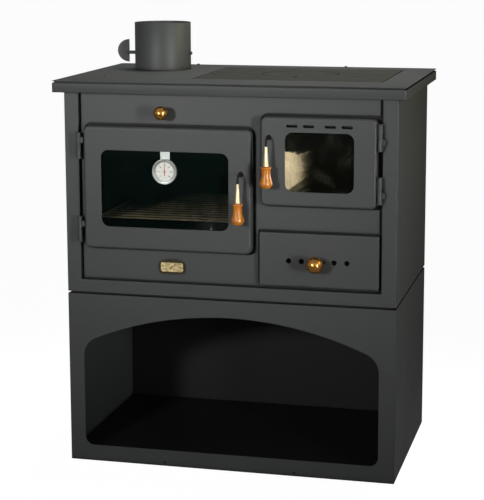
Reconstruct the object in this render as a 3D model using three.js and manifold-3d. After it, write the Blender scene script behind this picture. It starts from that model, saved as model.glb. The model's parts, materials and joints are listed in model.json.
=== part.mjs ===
// Wood-burning cookstove: oven and firebox behind hinged doors, ash drawer, hob and open log store.
// Millimetres, +Z up, +X to the viewer's right, the front faces -Y. Pieces are placed from the
// casing's front plane (y = 0) and the floor (z = 0); the end centres the whole on its footprint.
import * as THREE from 'three';
import { mergeVertices } from 'three/addons/utils/BufferGeometryUtils.js';
import Module from 'manifold-3d';

const wasm = await Module();
wasm.setup();

// ---- Doors and the bands round them: they add up to the width and height -------------------
const ovenWidth = 372;
const ovenHeight = 267;
const fireWidth = 247;
const fireHeight = 189;
const ovenSideMargin = 47; // casing side to the oven door
const doorSpacing = 20; // between the two doors
const fireSideMargin = 42; // firebox door to the casing side
const badgeBand = 102; // casing's foot to the oven door
const pullBand = 96; // oven door to the top of the hob
const fireTopBand = 66.5; // firebox door to the top of the hob

// ---- Casing -------------------------------------------------------------------------------
const bodyWidth = ovenSideMargin + ovenWidth + doorSpacing + fireWidth + fireSideMargin;
const bodyDepth = 450; // front plane to back panel
const baseHeight = 380; // log store, floor to its top panel
const splitGap = 5; // shadow gap between log store and stove body
const splitInset = 8; // how far the spacer stands back from the casing
const plinthWall = 30; // width of the spacer's frame
const sheet = 2; // casing sheet
const pillarWidth = 32; // front pillars each side
const railHeight = 28; // bottom rail between the pillars
const cornerFold = 2.5; // outer bend radius of the front corners
const frontWrap = 4; // how far the front sheet wraps round the corner
const backFold = 16; // inward fold at the back of the side panels
const fit = 0.3; // clearance between touching pieces
const bite = 1; // how far welded parts run into each other
const far = 2000; // half length of a cutter that goes right through

// ---- Hob ----------------------------------------------------------------------------------
const sideOverhang = 19;
const frontOverhang = 24;
const backOverhang = 10;
const hobCorner = 5; // corner radius of the hob in plan
const skirtDrop = 25; // hob surface to the skirt's lower edge
const skirtWall = 3;
const skirtLedge = 20; // inward flange that carries the top plate
const topThickness = 4;
const topLip = 1.2; // thin edge of the top plate above the shadow groove
const grooveHeight = 3; // shadow groove under that edge
const grooveDepth = 4;
const hobBend = 2; // corner radius of the hob's inner edges
const castLeft = 283; // hob's left edge to the cast plate
const castRight = 68; // cast plate to the hob's right edge
const castFront = 88; // casing's front plane to the cast plate
const castBack = 62; // cast plate to the hob's back edge
const castCorner = 3;
const castThickness = 8;
const castGap = 1.5; // joint round the cast plate
const castLedge = 9; // bearing ledge under the cast plate
const ledgeSheet = 2;
const lidDiameter = 170;
const lidStep = 7; // bearing step of the lid
const lidGap = 0.8;
const lidChamfer = 1;
const liftSlot = [12, 22]; // width and length of the slot for the lifting tool
const liftInset = 12; // lid's edge to that slot
const liftDepth = 4;

// ---- Flue ---------------------------------------------------------------------------------
const flueDiameter = 130;
const flueWall = 2;
const flueHeight = 108; // above the hob
const flueSide = 145; // hob's left edge to the pipe's axis
const flueBack = 134; // pipe's axis to the hob's back edge
const damperHeight = 37; // damper shaft above the hob
const damperShaft = 8; // shaft diameter
const shaftEnd = 5; // shaft beyond the pipe
const damperDisc = 116;
const discSheet = 2;
const damperPlay = 0.5; // radial play of the shaft in the pipe wall
const stiffenerWall = 1.5; // sleeve round the shaft on the disc
const stiffenerShort = 8; // disc's edge to the sleeve's end
const wingWidth = 28;
const wingRise = 30.5; // wing above the shaft
const wingDrop = 22; // wing below the shaft
const wingGap = 17; // pipe wall to the wing
const wingSheet = 3;
const wingGrip = 6; // shaft's end within the wing

// ---- Front --------------------------------------------------------------------------------
const fasciaSetback = 8; // fascia behind the front plane
const fasciaGapLeft = 4;
const fasciaGapRight = 6;
const fasciaGapLow = 3.5;
const plateSetback = 12; // stove's front plate behind the front plane
const plateThickness = 4;
const plateFoot = 16; // casing's foot to the front plate
const plateShort = 6; // front plate below the hob's ledge
const doorProud = 16; // door faces in front of the front plane
const doorDepth = 22; // face to the back of the door rim
const doorWall = 4;
const doorEdge = 6; // rounded edge of the doors
const doorCorner = 13; // corner radius of the doors
const doorGap = 4.5; // shadow gap between door and fascia
const windowCorner = 17;
const glassThickness = 4;
const glassSetback = 7; // door face to the glass
const glassMargin = 12; // glass behind the window's edge
const innerFrame = 3; // plate that clamps the glass
const clampLip = 3; // that plate behind the window's edge
const gasketWidth = 8; // rope seal round each door
const sealCorner = 4; // inner corner radius of the seal
const sealRoom = 0.5; // seal to the mouth in the front plate
const mouthCorner = 6;
const latchShaft = 10; // spindle diameter through the door
const latchPlay = 0.5; // radial play of the spindle
const tongueLength = 18;
const tongueHeight = 12;
const tongueThickness = 4;
const tongueTail = 6; // tongue beyond the spindle's axis
const tongueRoom = 4; // room round the tongue in the front plate

const ovenWindowLeft = 40; // window margins within the oven door
const ovenWindowRight = 49;
const ovenWindowLow = 49;
const ovenWindowTop = 51.5;
const ovenLatchInset = 22; // spindle from the door's free edge
const ovenLatchDrop = 95; // spindle below the door's top

const fireWindowLeft = 53; // window margins within the firebox door
const fireWindowRight = 47.5;
const fireWindowLow = 31.5;
const fireWindowTop = 32;
const fireLatchInset = 19;
const fireLatchDrop = 44;
const ventLength = 24; // air slots above the firebox window
const ventHeight = 6;
const ventCorner = 2.9;
const ventInner = 23; // slot centres either side of the window's middle
const ventOuter = 58.4;
const ventAbove = 13; // slot centres above the window

// ---- Hinges -------------------------------------------------------------------------------
const hingeInset = 36; // hinge axes within the casing sides
const hingeProud = 12; // hinge axes in front of the front plane
const hingeBarrel = 10.4; // barrel diameter
const hingeLength = 57;
const hingeCap = 12; // collar diameter
const hingeCapHeight = 3;
const hingePin = 6;
const hingePlay = 0.4; // radial play of the pin
const pinShort = 4; // pin's end below the closed cap
const lugHeight = 12;
const lugThickness = 6;
const lugDrop = 10.25; // frame's lug below the hinge's middle
const lugRise = 12.25; // door's lug above the hinge's middle
const lugReach = 6; // frame's lug on the pillar
const ovenHingeTop = 44; // hinge middles from the door's top and bottom
const ovenHingeLow = 40;
const fireHingeInset = 39;

// ---- Handles and knobs --------------------------------------------------------------------
const handleRod = 4.5; // rod diameter
const handleReach = 27; // hanging rod in front of the door face
const handleBend = 11; // bend radius of the rod
const handleDrop = 16; // spindle to the ferrule's top
const spindleProud = 2; // spindle in front of the door face
const ferruleLength = 41;
const ferruleTop = 6;
const ferruleLow = 11;
const ferruleFoot = 3; // straight foot of the cone
const rodInGrip = 25;
const gripLength = 46;
const gripTop = 23;
const gripWaist = 19.5;
const gripFlare = 28;
const draftKnob = 30; // ball diameter
const draftShift = -8; // pull beside the oven door's middle
const draftAbove = 31.5; // pull above the oven door
const draftStand = 32; // ball centre in front of the fascia
const draftSeat = 11; // foot diameter of the ball
const draftRod = 8;
const rodPlay = 0.5; // radial play of the rod
const rodProud = 3; // rod in front of the fascia
const draftFlap = [90, 64]; // width and height of the flap on the rod
const flapSheet = 2;
const airKnob = 36;
const airStand = 32; // ball centre in front of the drawer
const airSeat = 12;
const airStem = 8.6; // neck diameter in the drawer's slot
const stemProud = 2;
const airTravel = 12; // shutter either side of rest
const slotPlay = 0.5;
const spigot = 5; // diameter of the threaded end in a ball
const spigotLength = 11;
const neckShare = 0.8; // a ball's neck to its foot
const neckLength = 3;
const boreShare = 0.2; // spigot's end before the ball's middle, in radii

// ---- Ash drawer ---------------------------------------------------------------------------
const drawerOver = 5; // drawer front beyond the firebox door, each side
const drawerLift = 5; // drawer front above the fascia's lower edge
const drawerHeight = 114.5;
const drawerRoom = 1; // drawer front to the front plate
const drawerCorner = 3;
const drawerProud = 4;
const drawerGap = 4;
const drawerEdge = 2;
const airHole = 11.5;
const airPitch = 27.5; // between the two holes of a pair
const airSpread = 97.5; // between the pairs' middles
const airLow = 54.5; // hole centres above the drawer's lower edge
const airShift = -2; // hole pattern beside the drawer's middle
const shutterSheet = 1.5;
const shutterEnd = 12; // shutter beyond the outer holes
const shutterHeight = 22;
const panInset = 28.5; // pan within the drawer front, each side
const panBackRoom = 77; // behind the pan in the firebox shell
const panHeight = 78;
const panWall = 1.5;
const panLift = 16; // pan above the drawer's lower edge
const hoodInset = 10; // pan's front notch within its sides
const hoodDrop = 14; // that notch below the holes
const hoodDepth = 8;
const panRoom = [6, 8, 10]; // mouth round the pan: each side, below, above

// ---- Badge and thermometer ----------------------------------------------------------------
const badgeWidth = 59;
const badgeHeight = 32;
const badgeArch = 5; // rise of the arched top edge
const badgeCorner = 9;
const badgeThickness = 2.4;
const badgeBorder = 2; // raised border
const badgeRecess = 1; // depth of the sunk ring
const badgeField = [50, 20]; // raised field
const fieldDrop = 1.6; // field below the badge's middle
const badgeShift = 5; // badge beside the oven door's middle
const badgeLift = 64.5; // badge above the casing's foot
const gaugeDiameter = 55;
const gaugeDepth = 6.5;
const gaugeRim = 4.5; // width of the rolled rim
const rimRound = 1.5; // rounded edge of the rim
const rimLip = 0.6; // how far the rim falls inwards
const rimStep = 0.5; // dial's seat within the rim
const gaugeFloor = 2;
const gaugeShift = 1; // gauge beside the window's middle
const gaugeDrop = 43; // gauge centre below the window's top edge
const dialSheet = 0.8;
const hubRadius = 2.2;
const hubHeight = 1;
const strapWidth = 21;
const strapSheet = 1;
const strapTail = 13.75; // strap below the gauge's middle
const strapShort = 3; // strap below the glass's top edge
const needleLength = 17;
const needleTail = 8.5;
const needleWidth = 2;
const needleSheet = 0.6;

// ---- Log store ----------------------------------------------------------------------------
const archSide = 35; // opening within the log store's sides
const archLow = 36;
const archCrown = 37; // opening below the log store's top
const archRadius = 771;
const shoulderRadius = 45;
const archFoot = 19; // lower corner radius
const floorHeight = 22;
const floorFlange = 18; // inward folds that stand on the floor

// ---- Inside -------------------------------------------------------------------------------
const linerSheet = 2;
const ovenBackRoom = 48.7; // oven liner to the casing's back
const ovenHingeRoom = -4; // cavity beside the mouth on the hinge side
const ovenLatchRoom = 12; // cavity beyond the mouth, behind the latch
const ovenLipRoom = 2; // cavity above and below the mouth
const rackHeight = 46; // rack above the oven floor
const rackWire = 5;
const crossShare = 0.8; // cross wires to the frame wires
const rackPitch = 28;
const rackSide = 3; // rack to the cavity's sides
const rackFront = 24;
const rackBack = 12;
const runnerWidth = 12;
const runnerStart = 20; // front plate to the runners
const fireWall = 3;
const fireBackRoom = 53.7; // firebox shell to the casing's back
const fireLatchRoom = 15;
const fireHingeRoom = 10;
const shellFoot = 6; // shell below the ash mouth
const shellShort = 20; // shell below the firebox door's top
const shelfSheet = 6; // grate shelf
const shelfFront = 46; // front plate to the shelf's hole
const shelfLip = 14; // shelf beside and behind its hole, past the bricks
const guideSheet = 2;
const guideReach = 8; // pan guides under the pan
const guideShort = 20; // guides end before the pan's back
const brick = 25;
const brickFront = 22; // front plate to the bricks
const brickTop = 112; // bricks above the grate
const brickDrop = 34; // how much lower the left brick is at its back
const grateLift = 2; // grate above the firebox door's foot
const grateThickness = 8;
const grateLap = 6; // grate on its shelf
const grateSlot = 9;
const grateSlots = 7;
const grateEnd = 14; // slots' ends within the shelf's hole
const gasWallY = 150; // wall with the direct-draught port
const gasPort = [70, 44]; // port width and height
const gasWallEnd = 25; // wall beyond the port
const gasWallShort = 4; // wall below the front plate's top

// ---- Shaping ------------------------------------------------------------------------------
// Welds a geometry's points and turns it into a solid, dropping the needle faces at poles.
function solid(geometry) {
  const bare = geometry.clone();
  bare.deleteAttribute('normal');
  bare.deleteAttribute('uv');
  const welded = mergeVertices(bare);
  const index = welded.index.array;
  const faces = [];
  for (let i = 0; i < index.length; i += 3) {
    const [a, b, c] = [index[i], index[i + 1], index[i + 2]];
    if (a !== b && b !== c && c !== a) faces.push(a, b, c);
  }
  const vertProperties = welded.attributes.position.array;
  const mesh = new wasm.Mesh({ numProp: 3, vertProperties, triVerts: new Uint32Array(faces) });
  return new wasm.Manifold(mesh);
}

const through = [-far, far];
const grow = ([a, b], by) => [a - by, b + by];
const around = (middle, width) => [middle - width / 2, middle + width / 2];
const sorted = (a, b) => (a < b ? [a, b] : [b, a]);

function block([x0, x1], [y0, y1], [z0, z1]) {
  const box = new THREE.BoxGeometry(x1 - x0, y1 - y0, z1 - z0);
  return solid(box.translate((x0 + x1) / 2, (y0 + y1) / 2, (z0 + z1) / 2));
}

function join(...solids) {
  return solids.reduce((whole, piece) => whole.add(piece));
}

function cut(whole, ...tools) {
  return tools.reduce((rest, tool) => rest.subtract(tool), whole);
}

// A rectangle with round corners, as an outline seen from the front (across, up).
function roundedRect([x0, x1], [z0, z1], r) {
  const outline = new THREE.Shape();
  outline.moveTo(x0 + r, z0);
  outline.absarc(x1 - r, z0 + r, r, -Math.PI / 2, 0);
  outline.absarc(x1 - r, z1 - r, r, 0, Math.PI / 2);
  outline.absarc(x0 + r, z1 - r, r, Math.PI / 2, Math.PI);
  outline.absarc(x0 + r, z0 + r, r, Math.PI, 1.5 * Math.PI);
  return outline;
}

// Extrudes a front outline from y0 back to y1.
function slab(outline, [y0, y1], curveSegments = 4) {
  const shape = new THREE.ExtrudeGeometry(outline, { depth: y1 - y0, bevelEnabled: false, curveSegments });
  return solid(shape.rotateX(Math.PI / 2).translate(0, y1, 0));
}

// The same with its front edge rounded over, as on a pressed or cast door.
function softSlab(outline, [y0, y1], edge, steps = 2) {
  const shape = new THREE.ExtrudeGeometry(outline, {
    depth: y1 - y0, bevelEnabled: true, bevelThickness: edge, bevelSize: edge,
    bevelOffset: -edge, bevelSegments: steps, curveSegments: 4,
  });
  const whole = solid(shape.rotateX(Math.PI / 2).translate(0, y1 + edge, 0));
  return cut(whole, block(through, [y1, y1 + far], through));
}

// Extrudes a plan outline (across, back) from z0 up to z1.
function prism(outline, [z0, z1], curveSegments = 4) {
  const shape = new THREE.ExtrudeGeometry(outline, { depth: z1 - z0, bevelEnabled: false, curveSegments });
  return solid(shape.translate(0, 0, z0));
}

// A turned form: profile points are (radius, distance along the axis) from the given origin.
function turned(profile, sides, axis, [x, y, z]) {
  const points = profile.map(([r, h]) => new THREE.Vector2(r, h));
  const form = new THREE.LatheGeometry(points, sides);
  if (axis === 'up') form.rotateX(Math.PI / 2);
  if (axis === 'front') form.rotateX(Math.PI);
  if (axis === 'right') form.rotateZ(-Math.PI / 2);
  return solid(form.translate(x, y, z));
}

function rod(radius, [h0, h1], axis, place, sides = 12) {
  return turned([[0, h0], [radius, h0], [radius, h1], [0, h1]], sides, axis, place);
}

const finishes = {
  paint: { color: 0x4a4a49, roughness: 0.55, metalness: 0.25 },
  darkPaint: { color: 0x2b2b2a, roughness: 0.7, metalness: 0.2 },
  castIron: { color: 0x3d3d3b, roughness: 0.6, metalness: 0.5 },
  enamel: { color: 0x202122, roughness: 0.35, metalness: 0.1 },
  glass: { color: 0x1a1d1c, roughness: 0.05, metalness: 0 },
  rope: { color: 0x5c5a52, roughness: 0.95, metalness: 0 },
  brass: { color: 0xb08a3c, roughness: 0.35, metalness: 0.9 },
  copper: { color: 0xc07a35, roughness: 0.2, metalness: 0.9 },
  chrome: { color: 0xc9c6c0, roughness: 0.12, metalness: 1 },
  steel: { color: 0xb6b4ae, roughness: 0.3, metalness: 1 },
  dial: { color: 0xe9e6dc, roughness: 0.6, metalness: 0 },
  needle: { color: 0x8c3a2a, roughness: 0.5, metalness: 0.1 },
  grip: { color: 0xb8651a, roughness: 0.25, metalness: 0 },
  brick: { color: 0xb5ad8a, roughness: 0.95, metalness: 0 },
};

const stove = new THREE.Group();

function piece(name, finish, form) {
  const { vertProperties, triVerts } = form.getMesh();
  const geometry = new THREE.BufferGeometry();
  geometry.setAttribute('position', new THREE.BufferAttribute(vertProperties, 3));
  geometry.setIndex(new THREE.BufferAttribute(triVerts, 1));
  geometry.computeVertexNormals();
  const mesh = new THREE.Mesh(geometry, new THREE.MeshStandardMaterial(finishes[finish]));
  mesh.name = name;
  stove.add(mesh);
}

// ---- Places worked out from the sizes -----------------------------------------------------
const half = bodyWidth / 2;
const pillarReturn = plateSetback - fit; // depth of the pillars' inner folds
const bodyLow = baseHeight + splitGap;
const hobHeight = bodyLow + badgeBand + ovenHeight + pullBand;
const skirtTop = hobHeight - topLip - grooveHeight;
const ledgeTop = hobHeight - topThickness - fit;
const casingTop = ledgeTop - sheet - fit;
const pillarInner = half - pillarWidth;
const railTop = bodyLow + railHeight;
const fasciaLeft = -pillarInner + fasciaGapLeft;
const fasciaRight = pillarInner - fasciaGapRight;
const fasciaLow = railTop + fasciaGapLow;
const plateBack = plateSetback + plateThickness;
const plateHalf = half - sheet - splitInset;
const plateLow = bodyLow + plateFoot;
const plateHigh = casingTop - plateShort;

const doorFace = -doorProud;
const doorBack = doorFace + doorDepth;
const ovenX = [-half + ovenSideMargin, -half + ovenSideMargin + ovenWidth];
const ovenZ = [bodyLow + badgeBand, bodyLow + badgeBand + ovenHeight];
const fireX = [ovenX[1] + doorSpacing, ovenX[1] + doorSpacing + fireWidth];
const fireZ = [hobHeight - fireTopBand - fireHeight, hobHeight - fireTopBand];
const ovenMiddle = (ovenX[0] + ovenX[1]) / 2;
const ovenWindowX = [ovenX[0] + ovenWindowLeft, ovenX[1] - ovenWindowRight];
const ovenWindowZ = [ovenZ[0] + ovenWindowLow, ovenZ[1] - ovenWindowTop];
const fireWindowX = [fireX[0] + fireWindowLeft, fireX[1] - fireWindowRight];
const fireWindowZ = [fireZ[0] + fireWindowLow, fireZ[1] - fireWindowTop];
const ovenLatch = [ovenX[1] - ovenLatchInset, ovenZ[1] - ovenLatchDrop];
const fireLatch = [fireX[0] + fireLatchInset, fireZ[1] - fireLatchDrop];
const draftX = ovenMiddle + draftShift;
const draftZ = ovenZ[1] + draftAbove;

const linerFront = plateBack + fit;
const fireEnd = bodyDepth - fireBackRoom;
const drawerX = grow(fireX, drawerOver);
const drawerZ = [fasciaLow + drawerLift, fasciaLow + drawerLift + drawerHeight];
const panX = grow(drawerX, -panInset);
const panY = [-drawerProud + sheet + fit, fireEnd - fireWall - panBackRoom];
const panZ = [drawerZ[0] + panLift, drawerZ[0] + panLift + panHeight];
const ashMouthX = grow(panX, panRoom[0]);
const ashMouthZ = [panZ[0] - panRoom[1], panZ[1] + panRoom[2]];
const sealInset = doorWall + fit + gasketWidth + sealRoom;

// ---- Log store ----------------------------------------------------------------------------
function archOpening() {
  const outline = new THREE.Shape();
  const archHalf = half - archSide;
  const centre = baseHeight - archCrown - archRadius;
  const shoulderX = archHalf - shoulderRadius;
  const shoulderZ = centre + Math.sqrt((archRadius - shoulderRadius) ** 2 - shoulderX ** 2);
  const turn = Math.atan2(shoulderZ - centre, shoulderX);
  outline.moveTo(-archHalf + archFoot, archLow);
  outline.absarc(archHalf - archFoot, archLow + archFoot, archFoot, -Math.PI / 2, 0);
  outline.absarc(shoulderX, shoulderZ, shoulderRadius, 0, turn);
  outline.absarc(0, centre, archRadius, turn, Math.PI - turn);
  outline.absarc(-shoulderX, shoulderZ, shoulderRadius, Math.PI - turn, Math.PI);
  outline.absarc(-archHalf + archFoot, archLow + archFoot, archFoot, Math.PI, 1.5 * Math.PI);
  return outline;
}

// A front sheet in plan: flat across the front, bent round both corners.
function wrappedSheet(returnDepth) {
  const outline = new THREE.Shape();
  outline.moveTo(-half + cornerFold, 0);
  outline.lineTo(half - cornerFold, 0);
  outline.absarc(half - cornerFold, cornerFold, cornerFold, -Math.PI / 2, 0);
  outline.lineTo(half, returnDepth);
  outline.lineTo(half - sheet, returnDepth);
  outline.lineTo(half - sheet, sheet);
  outline.lineTo(-half + sheet, sheet);
  outline.lineTo(-half + sheet, returnDepth);
  outline.lineTo(-half, returnDepth);
  outline.lineTo(-half, cornerFold);
  outline.absarc(-half + cornerFold, cornerFold, cornerFold, Math.PI, 1.5 * Math.PI);
  return outline;
}

// A side sheet in plan, with its back edge folded inwards.
function sidePanel(side, heights) {
  const outer = side * half;
  const inner = side * (half - sheet);
  const edge = side * (half - backFold);
  const outline = new THREE.Shape();
  outline.moveTo(outer, frontWrap + fit);
  outline.lineTo(outer, bodyDepth);
  outline.lineTo(edge, bodyDepth);
  outline.lineTo(edge, bodyDepth - sheet);
  outline.lineTo(inner, bodyDepth - sheet);
  outline.lineTo(inner, frontWrap + fit);
  outline.closePath();
  return prism(outline, heights);
}

function backPanel([z0, z1]) {
  const across = half - sheet - fit;
  const y = bodyDepth - sheet - fit;
  return block([-across, across], [y - sheet, y], [z0, z1]);
}

function logStore() {
  const cutter = slab(archOpening(), through, 8);
  piece('base_front_panel', 'paint', cut(prism(wrappedSheet(frontWrap), [0, baseHeight], 3), cutter));
  piece('base_left_side', 'paint', sidePanel(-1, [0, baseHeight]));
  piece('base_right_side', 'paint', sidePanel(1, [0, baseHeight]));
  const panTop = baseHeight - sheet - fit;
  piece('base_back_panel', 'darkPaint', backPanel([0, panTop]));
  const across = half - sheet - fit;
  const inside = [-across, across];
  const deep = [sheet + fit, bodyDepth - 2 * (sheet + fit)];
  const pan = block(inside, deep, [0, floorHeight]);
  const hollow = block(grow(inside, -sheet), grow(deep, -sheet), [sheet, floorHeight - sheet]);
  const below = floorFlange + sheet;
  const mouth = block(grow(inside, -below), grow(deep, -below), [-bite, sheet + bite]);
  piece('base_floor_pan', 'darkPaint', cut(pan, hollow, mouth));
  const top = block(inside, [deep[0], bodyDepth - fit - sheet], [baseHeight - sheet, baseHeight]);
  piece('base_top_panel', 'darkPaint', top);
}

// ---- Stove casing -------------------------------------------------------------------------
function casing() {
  const high = casingTop;
  const wrap = prism(wrappedSheet(frontWrap), [bodyLow, high], 3);
  const returns = [-1, 1].map((side) => {
    const xs = sorted(side * (pillarInner - bite), side * (pillarInner + sheet));
    return block(xs, [sheet - bite, pillarReturn], [bodyLow, high]);
  });
  const between = [-pillarInner, pillarInner];
  const returnY = [sheet - bite, pillarReturn];
  const shelf = block(grow(between, bite), returnY, [railTop - sheet, railTop + bite]);
  const opening = block(between, through, [railTop, high + bite]);
  piece('casing_front_frame', 'paint', cut(join(wrap, ...returns, shelf), opening));
  piece('left_side_panel', 'paint', sidePanel(-1, [bodyLow, high]));
  piece('right_side_panel', 'paint', sidePanel(1, [bodyLow, high]));
  piece('back_panel', 'darkPaint', backPanel([bodyLow, high]));

  const across = half - sheet - fit;
  const back = bodyDepth - 2 * (sheet + fit);
  const insetX = [-half + splitInset, half - splitInset];
  const insetY = [splitInset, bodyDepth - splitInset];
  const pan = block([-across, across], [pillarReturn + fit, back], [bodyLow, bodyLow + sheet]);
  const plinth = block(insetX, insetY, [baseHeight + fit, bodyLow - fit]);
  const bridge = block(insetX, [pillarReturn + fit, back - splitInset], grow([bodyLow, bodyLow], bite));
  const well = block(grow(insetX, -plinthWall), grow(insetY, -plinthWall), [baseHeight, bodyLow]);
  piece('body_floor_pan', 'darkPaint', cut(join(pan, plinth, bridge), well));
}

// ---- Fascia and the stove's front plate ---------------------------------------------------
function fascia() {
  const [front, back] = [fasciaSetback, plateSetback - fit];
  const tray = block([fasciaLeft, fasciaRight], [front, back], [fasciaLow, casingTop]);
  const hollow = block([fasciaLeft + sheet, fasciaRight - sheet], [front + sheet, back + bite],
    [fasciaLow + sheet, casingTop - sheet]);
  const gapCorner = doorCorner + doorGap;
  const ovenCut = slab(roundedRect(grow(ovenX, doorGap), grow(ovenZ, doorGap), gapCorner), through);
  const openRight = (xs, zs, gap, r) => slab(roundedRect([xs[0] - gap, half], grow(zs, gap), r), through);
  const fireCut = openRight(fireX, fireZ, doorGap, gapCorner);
  const ashCut = openRight(drawerX, [drawerZ[0] + drawerGap / 2, drawerZ[1]], drawerGap, drawerCorner);
  const rodHole = rod(draftRod / 2 + rodPlay, through, 'front', [draftX, 0, draftZ], 16);
  piece('fascia_panel', 'paint', cut(tray, hollow, ovenCut, fireCut, ashCut, rodHole));
}

function frontPlate() {
  const plate = block([-plateHalf, plateHalf], [plateSetback, plateBack], [plateLow, plateHigh]);
  const mouth = (xs, zs) =>
    slab(roundedRect(grow(xs, -sealInset), grow(zs, -sealInset), mouthCorner), through);
  const ashMouth = block(ashMouthX, through, ashMouthZ);
  const notch = ([x, z], side) => {
    const xs = sorted(x, x + side * (tongueLength + tongueRoom));
    return block(xs, through, around(z, tongueHeight + tongueRoom));
  };
  const rodHole = rod(draftRod / 2 + rodPlay, through, 'front', [draftX, 0, draftZ], 16);
  const mouths = [mouth(ovenX, ovenZ), mouth(fireX, fireZ), ashMouth];
  const holes = [...mouths, notch(ovenLatch, 1), notch(fireLatch, -1), rodHole];
  piece('front_plate', 'darkPaint', cut(plate, ...holes));
}

// ---- Hob ----------------------------------------------------------------------------------
const hobX = [-half - sideOverhang, half + sideOverhang];
const hobY = [-frontOverhang, bodyDepth + backOverhang];
const castX = [hobX[0] + castLeft, hobX[1] - castRight];
const castY = [castFront, hobY[1] - castBack];
const castLow = hobHeight - castThickness;
const lidPlace = [(castX[0] + castX[1]) / 2, (castY[0] + castY[1]) / 2, 0];
const fluePlace = [hobX[0] + flueSide, hobY[1] - flueBack, 0];

// The hob's outline, drawn in or out by the same amount all round.
function hobOutline(by, corner) {
  return roundedRect(grow(hobX, by), grow(hobY, by), corner);
}

function hob() {
  const skirtLow = hobHeight - skirtDrop;
  const inner = hobOutline(-skirtWall, hobCorner - skirtWall + sealRoom);
  const throat = hobOutline(-skirtWall - skirtLedge, hobBend);
  const rim = cut(prism(hobOutline(0, hobCorner), [skirtLow, ledgeTop]),
    prism(inner, [skirtLow - bite, ledgeTop - sheet]), prism(throat, [skirtLow - bite, ledgeTop + bite]));
  const stepped = hobOutline(-grooveDepth, hobBend);
  const groove = cut(prism(hobOutline(0, hobCorner), [skirtTop, ledgeTop + bite]),
    prism(stepped, [skirtTop - bite, ledgeTop + 2 * bite]));
  piece('hob_skirt', 'paint', cut(rim, groove));

  const slabTop = join(prism(hobOutline(0, hobCorner), [hobHeight - topLip, hobHeight]),
    prism(stepped, [hobHeight - topThickness, hobHeight - topLip / 2]));
  const seatLow = castLow - fit;
  const frame = block(grow(castX, castLedge), grow(castY, castLedge),
    [seatLow - ledgeSheet, hobHeight - topThickness + bite]);
  const seatCut = block(grow(castX, castGap), grow(castY, castGap), [seatLow, hobHeight + bite]);
  const window = block(grow(castX, -castLedge), grow(castY, -castLedge), through);
  const flueHole = rod(flueDiameter / 2 - flueWall, through, 'up', fluePlace, 32);
  piece('hob_top_plate', 'paint', cut(join(slabTop, frame), seatCut, window, flueHole));

  const lidRadius = lidDiameter / 2;
  const stepRadius = lidRadius - lidStep;
  const plate = prism(roundedRect(castX, castY, castCorner), [castLow, hobHeight]);
  const mid = hobHeight - castThickness / 2;
  const well = rod(lidRadius + lidGap, [mid, hobHeight + bite], 'up', lidPlace, 40);
  const hole = rod(stepRadius + lidGap, through, 'up', lidPlace, 40);
  piece('hob_cast_plate', 'castIron', cut(plate, well, hole));

  const lidForm = turned([[0, castLow], [stepRadius, castLow], [stepRadius, mid + fit],
    [lidRadius, mid + fit], [lidRadius, hobHeight - lidChamfer], [lidRadius - lidChamfer, hobHeight],
    [0, hobHeight]], 40, 'up', lidPlace);
  const slotFront = lidPlace[1] - lidRadius + liftInset;
  const slot = block(around(lidPlace[0], liftSlot[0]), [slotFront, slotFront + liftSlot[1]],
    [hobHeight - liftDepth, hobHeight + bite]);
  piece('hob_lid', 'castIron', cut(lidForm, slot));
}

// ---- Flue ---------------------------------------------------------------------------------
function flue() {
  const outer = flueDiameter / 2;
  const inner = outer - flueWall;
  const [low, high] = [hobHeight + fit, hobHeight + flueHeight];
  const profile = [[inner, low], [outer, low], [outer, high], [inner, high], [inner, low]];
  const pipe = turned(profile, 48, 'up', fluePlace);
  const shaftPlace = [fluePlace[0], fluePlace[1], hobHeight + damperHeight];
  const bearing = rod(damperShaft / 2 + damperPlay, through, 'right', shaftPlace, 16);
  piece('flue_spigot', 'paint', cut(pipe, bearing));

  const wingEdge = -outer - wingGap;
  const shaft = rod(damperShaft / 2, [wingEdge - wingGrip, outer + shaftEnd], 'right', shaftPlace, 12);
  const disc = rod(damperDisc / 2, around(0, discSheet), 'front', shaftPlace, 32);
  const sleeveEnd = damperDisc / 2 - stiffenerShort;
  const sleeve = rod(damperShaft / 2 + stiffenerWall, [-sleeveEnd, sleeveEnd], 'right', shaftPlace, 12);
  const bulge = (-wingWidth * 4) / 3; // handles of the curve that bulges to the wing's width
  const wing = new THREE.Shape();
  wing.moveTo(0, -wingDrop);
  wing.lineTo(0, wingRise);
  wing.bezierCurveTo(bulge, wingRise, bulge, -wingDrop, 0, -wingDrop);
  const blade = slab(wing, around(0, wingSheet), 10);
  piece('flue_damper', 'paint', join(shaft, disc, sleeve,
    blade.translate([shaftPlace[0] + wingEdge, shaftPlace[1], shaftPlace[2]])));
}

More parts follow.
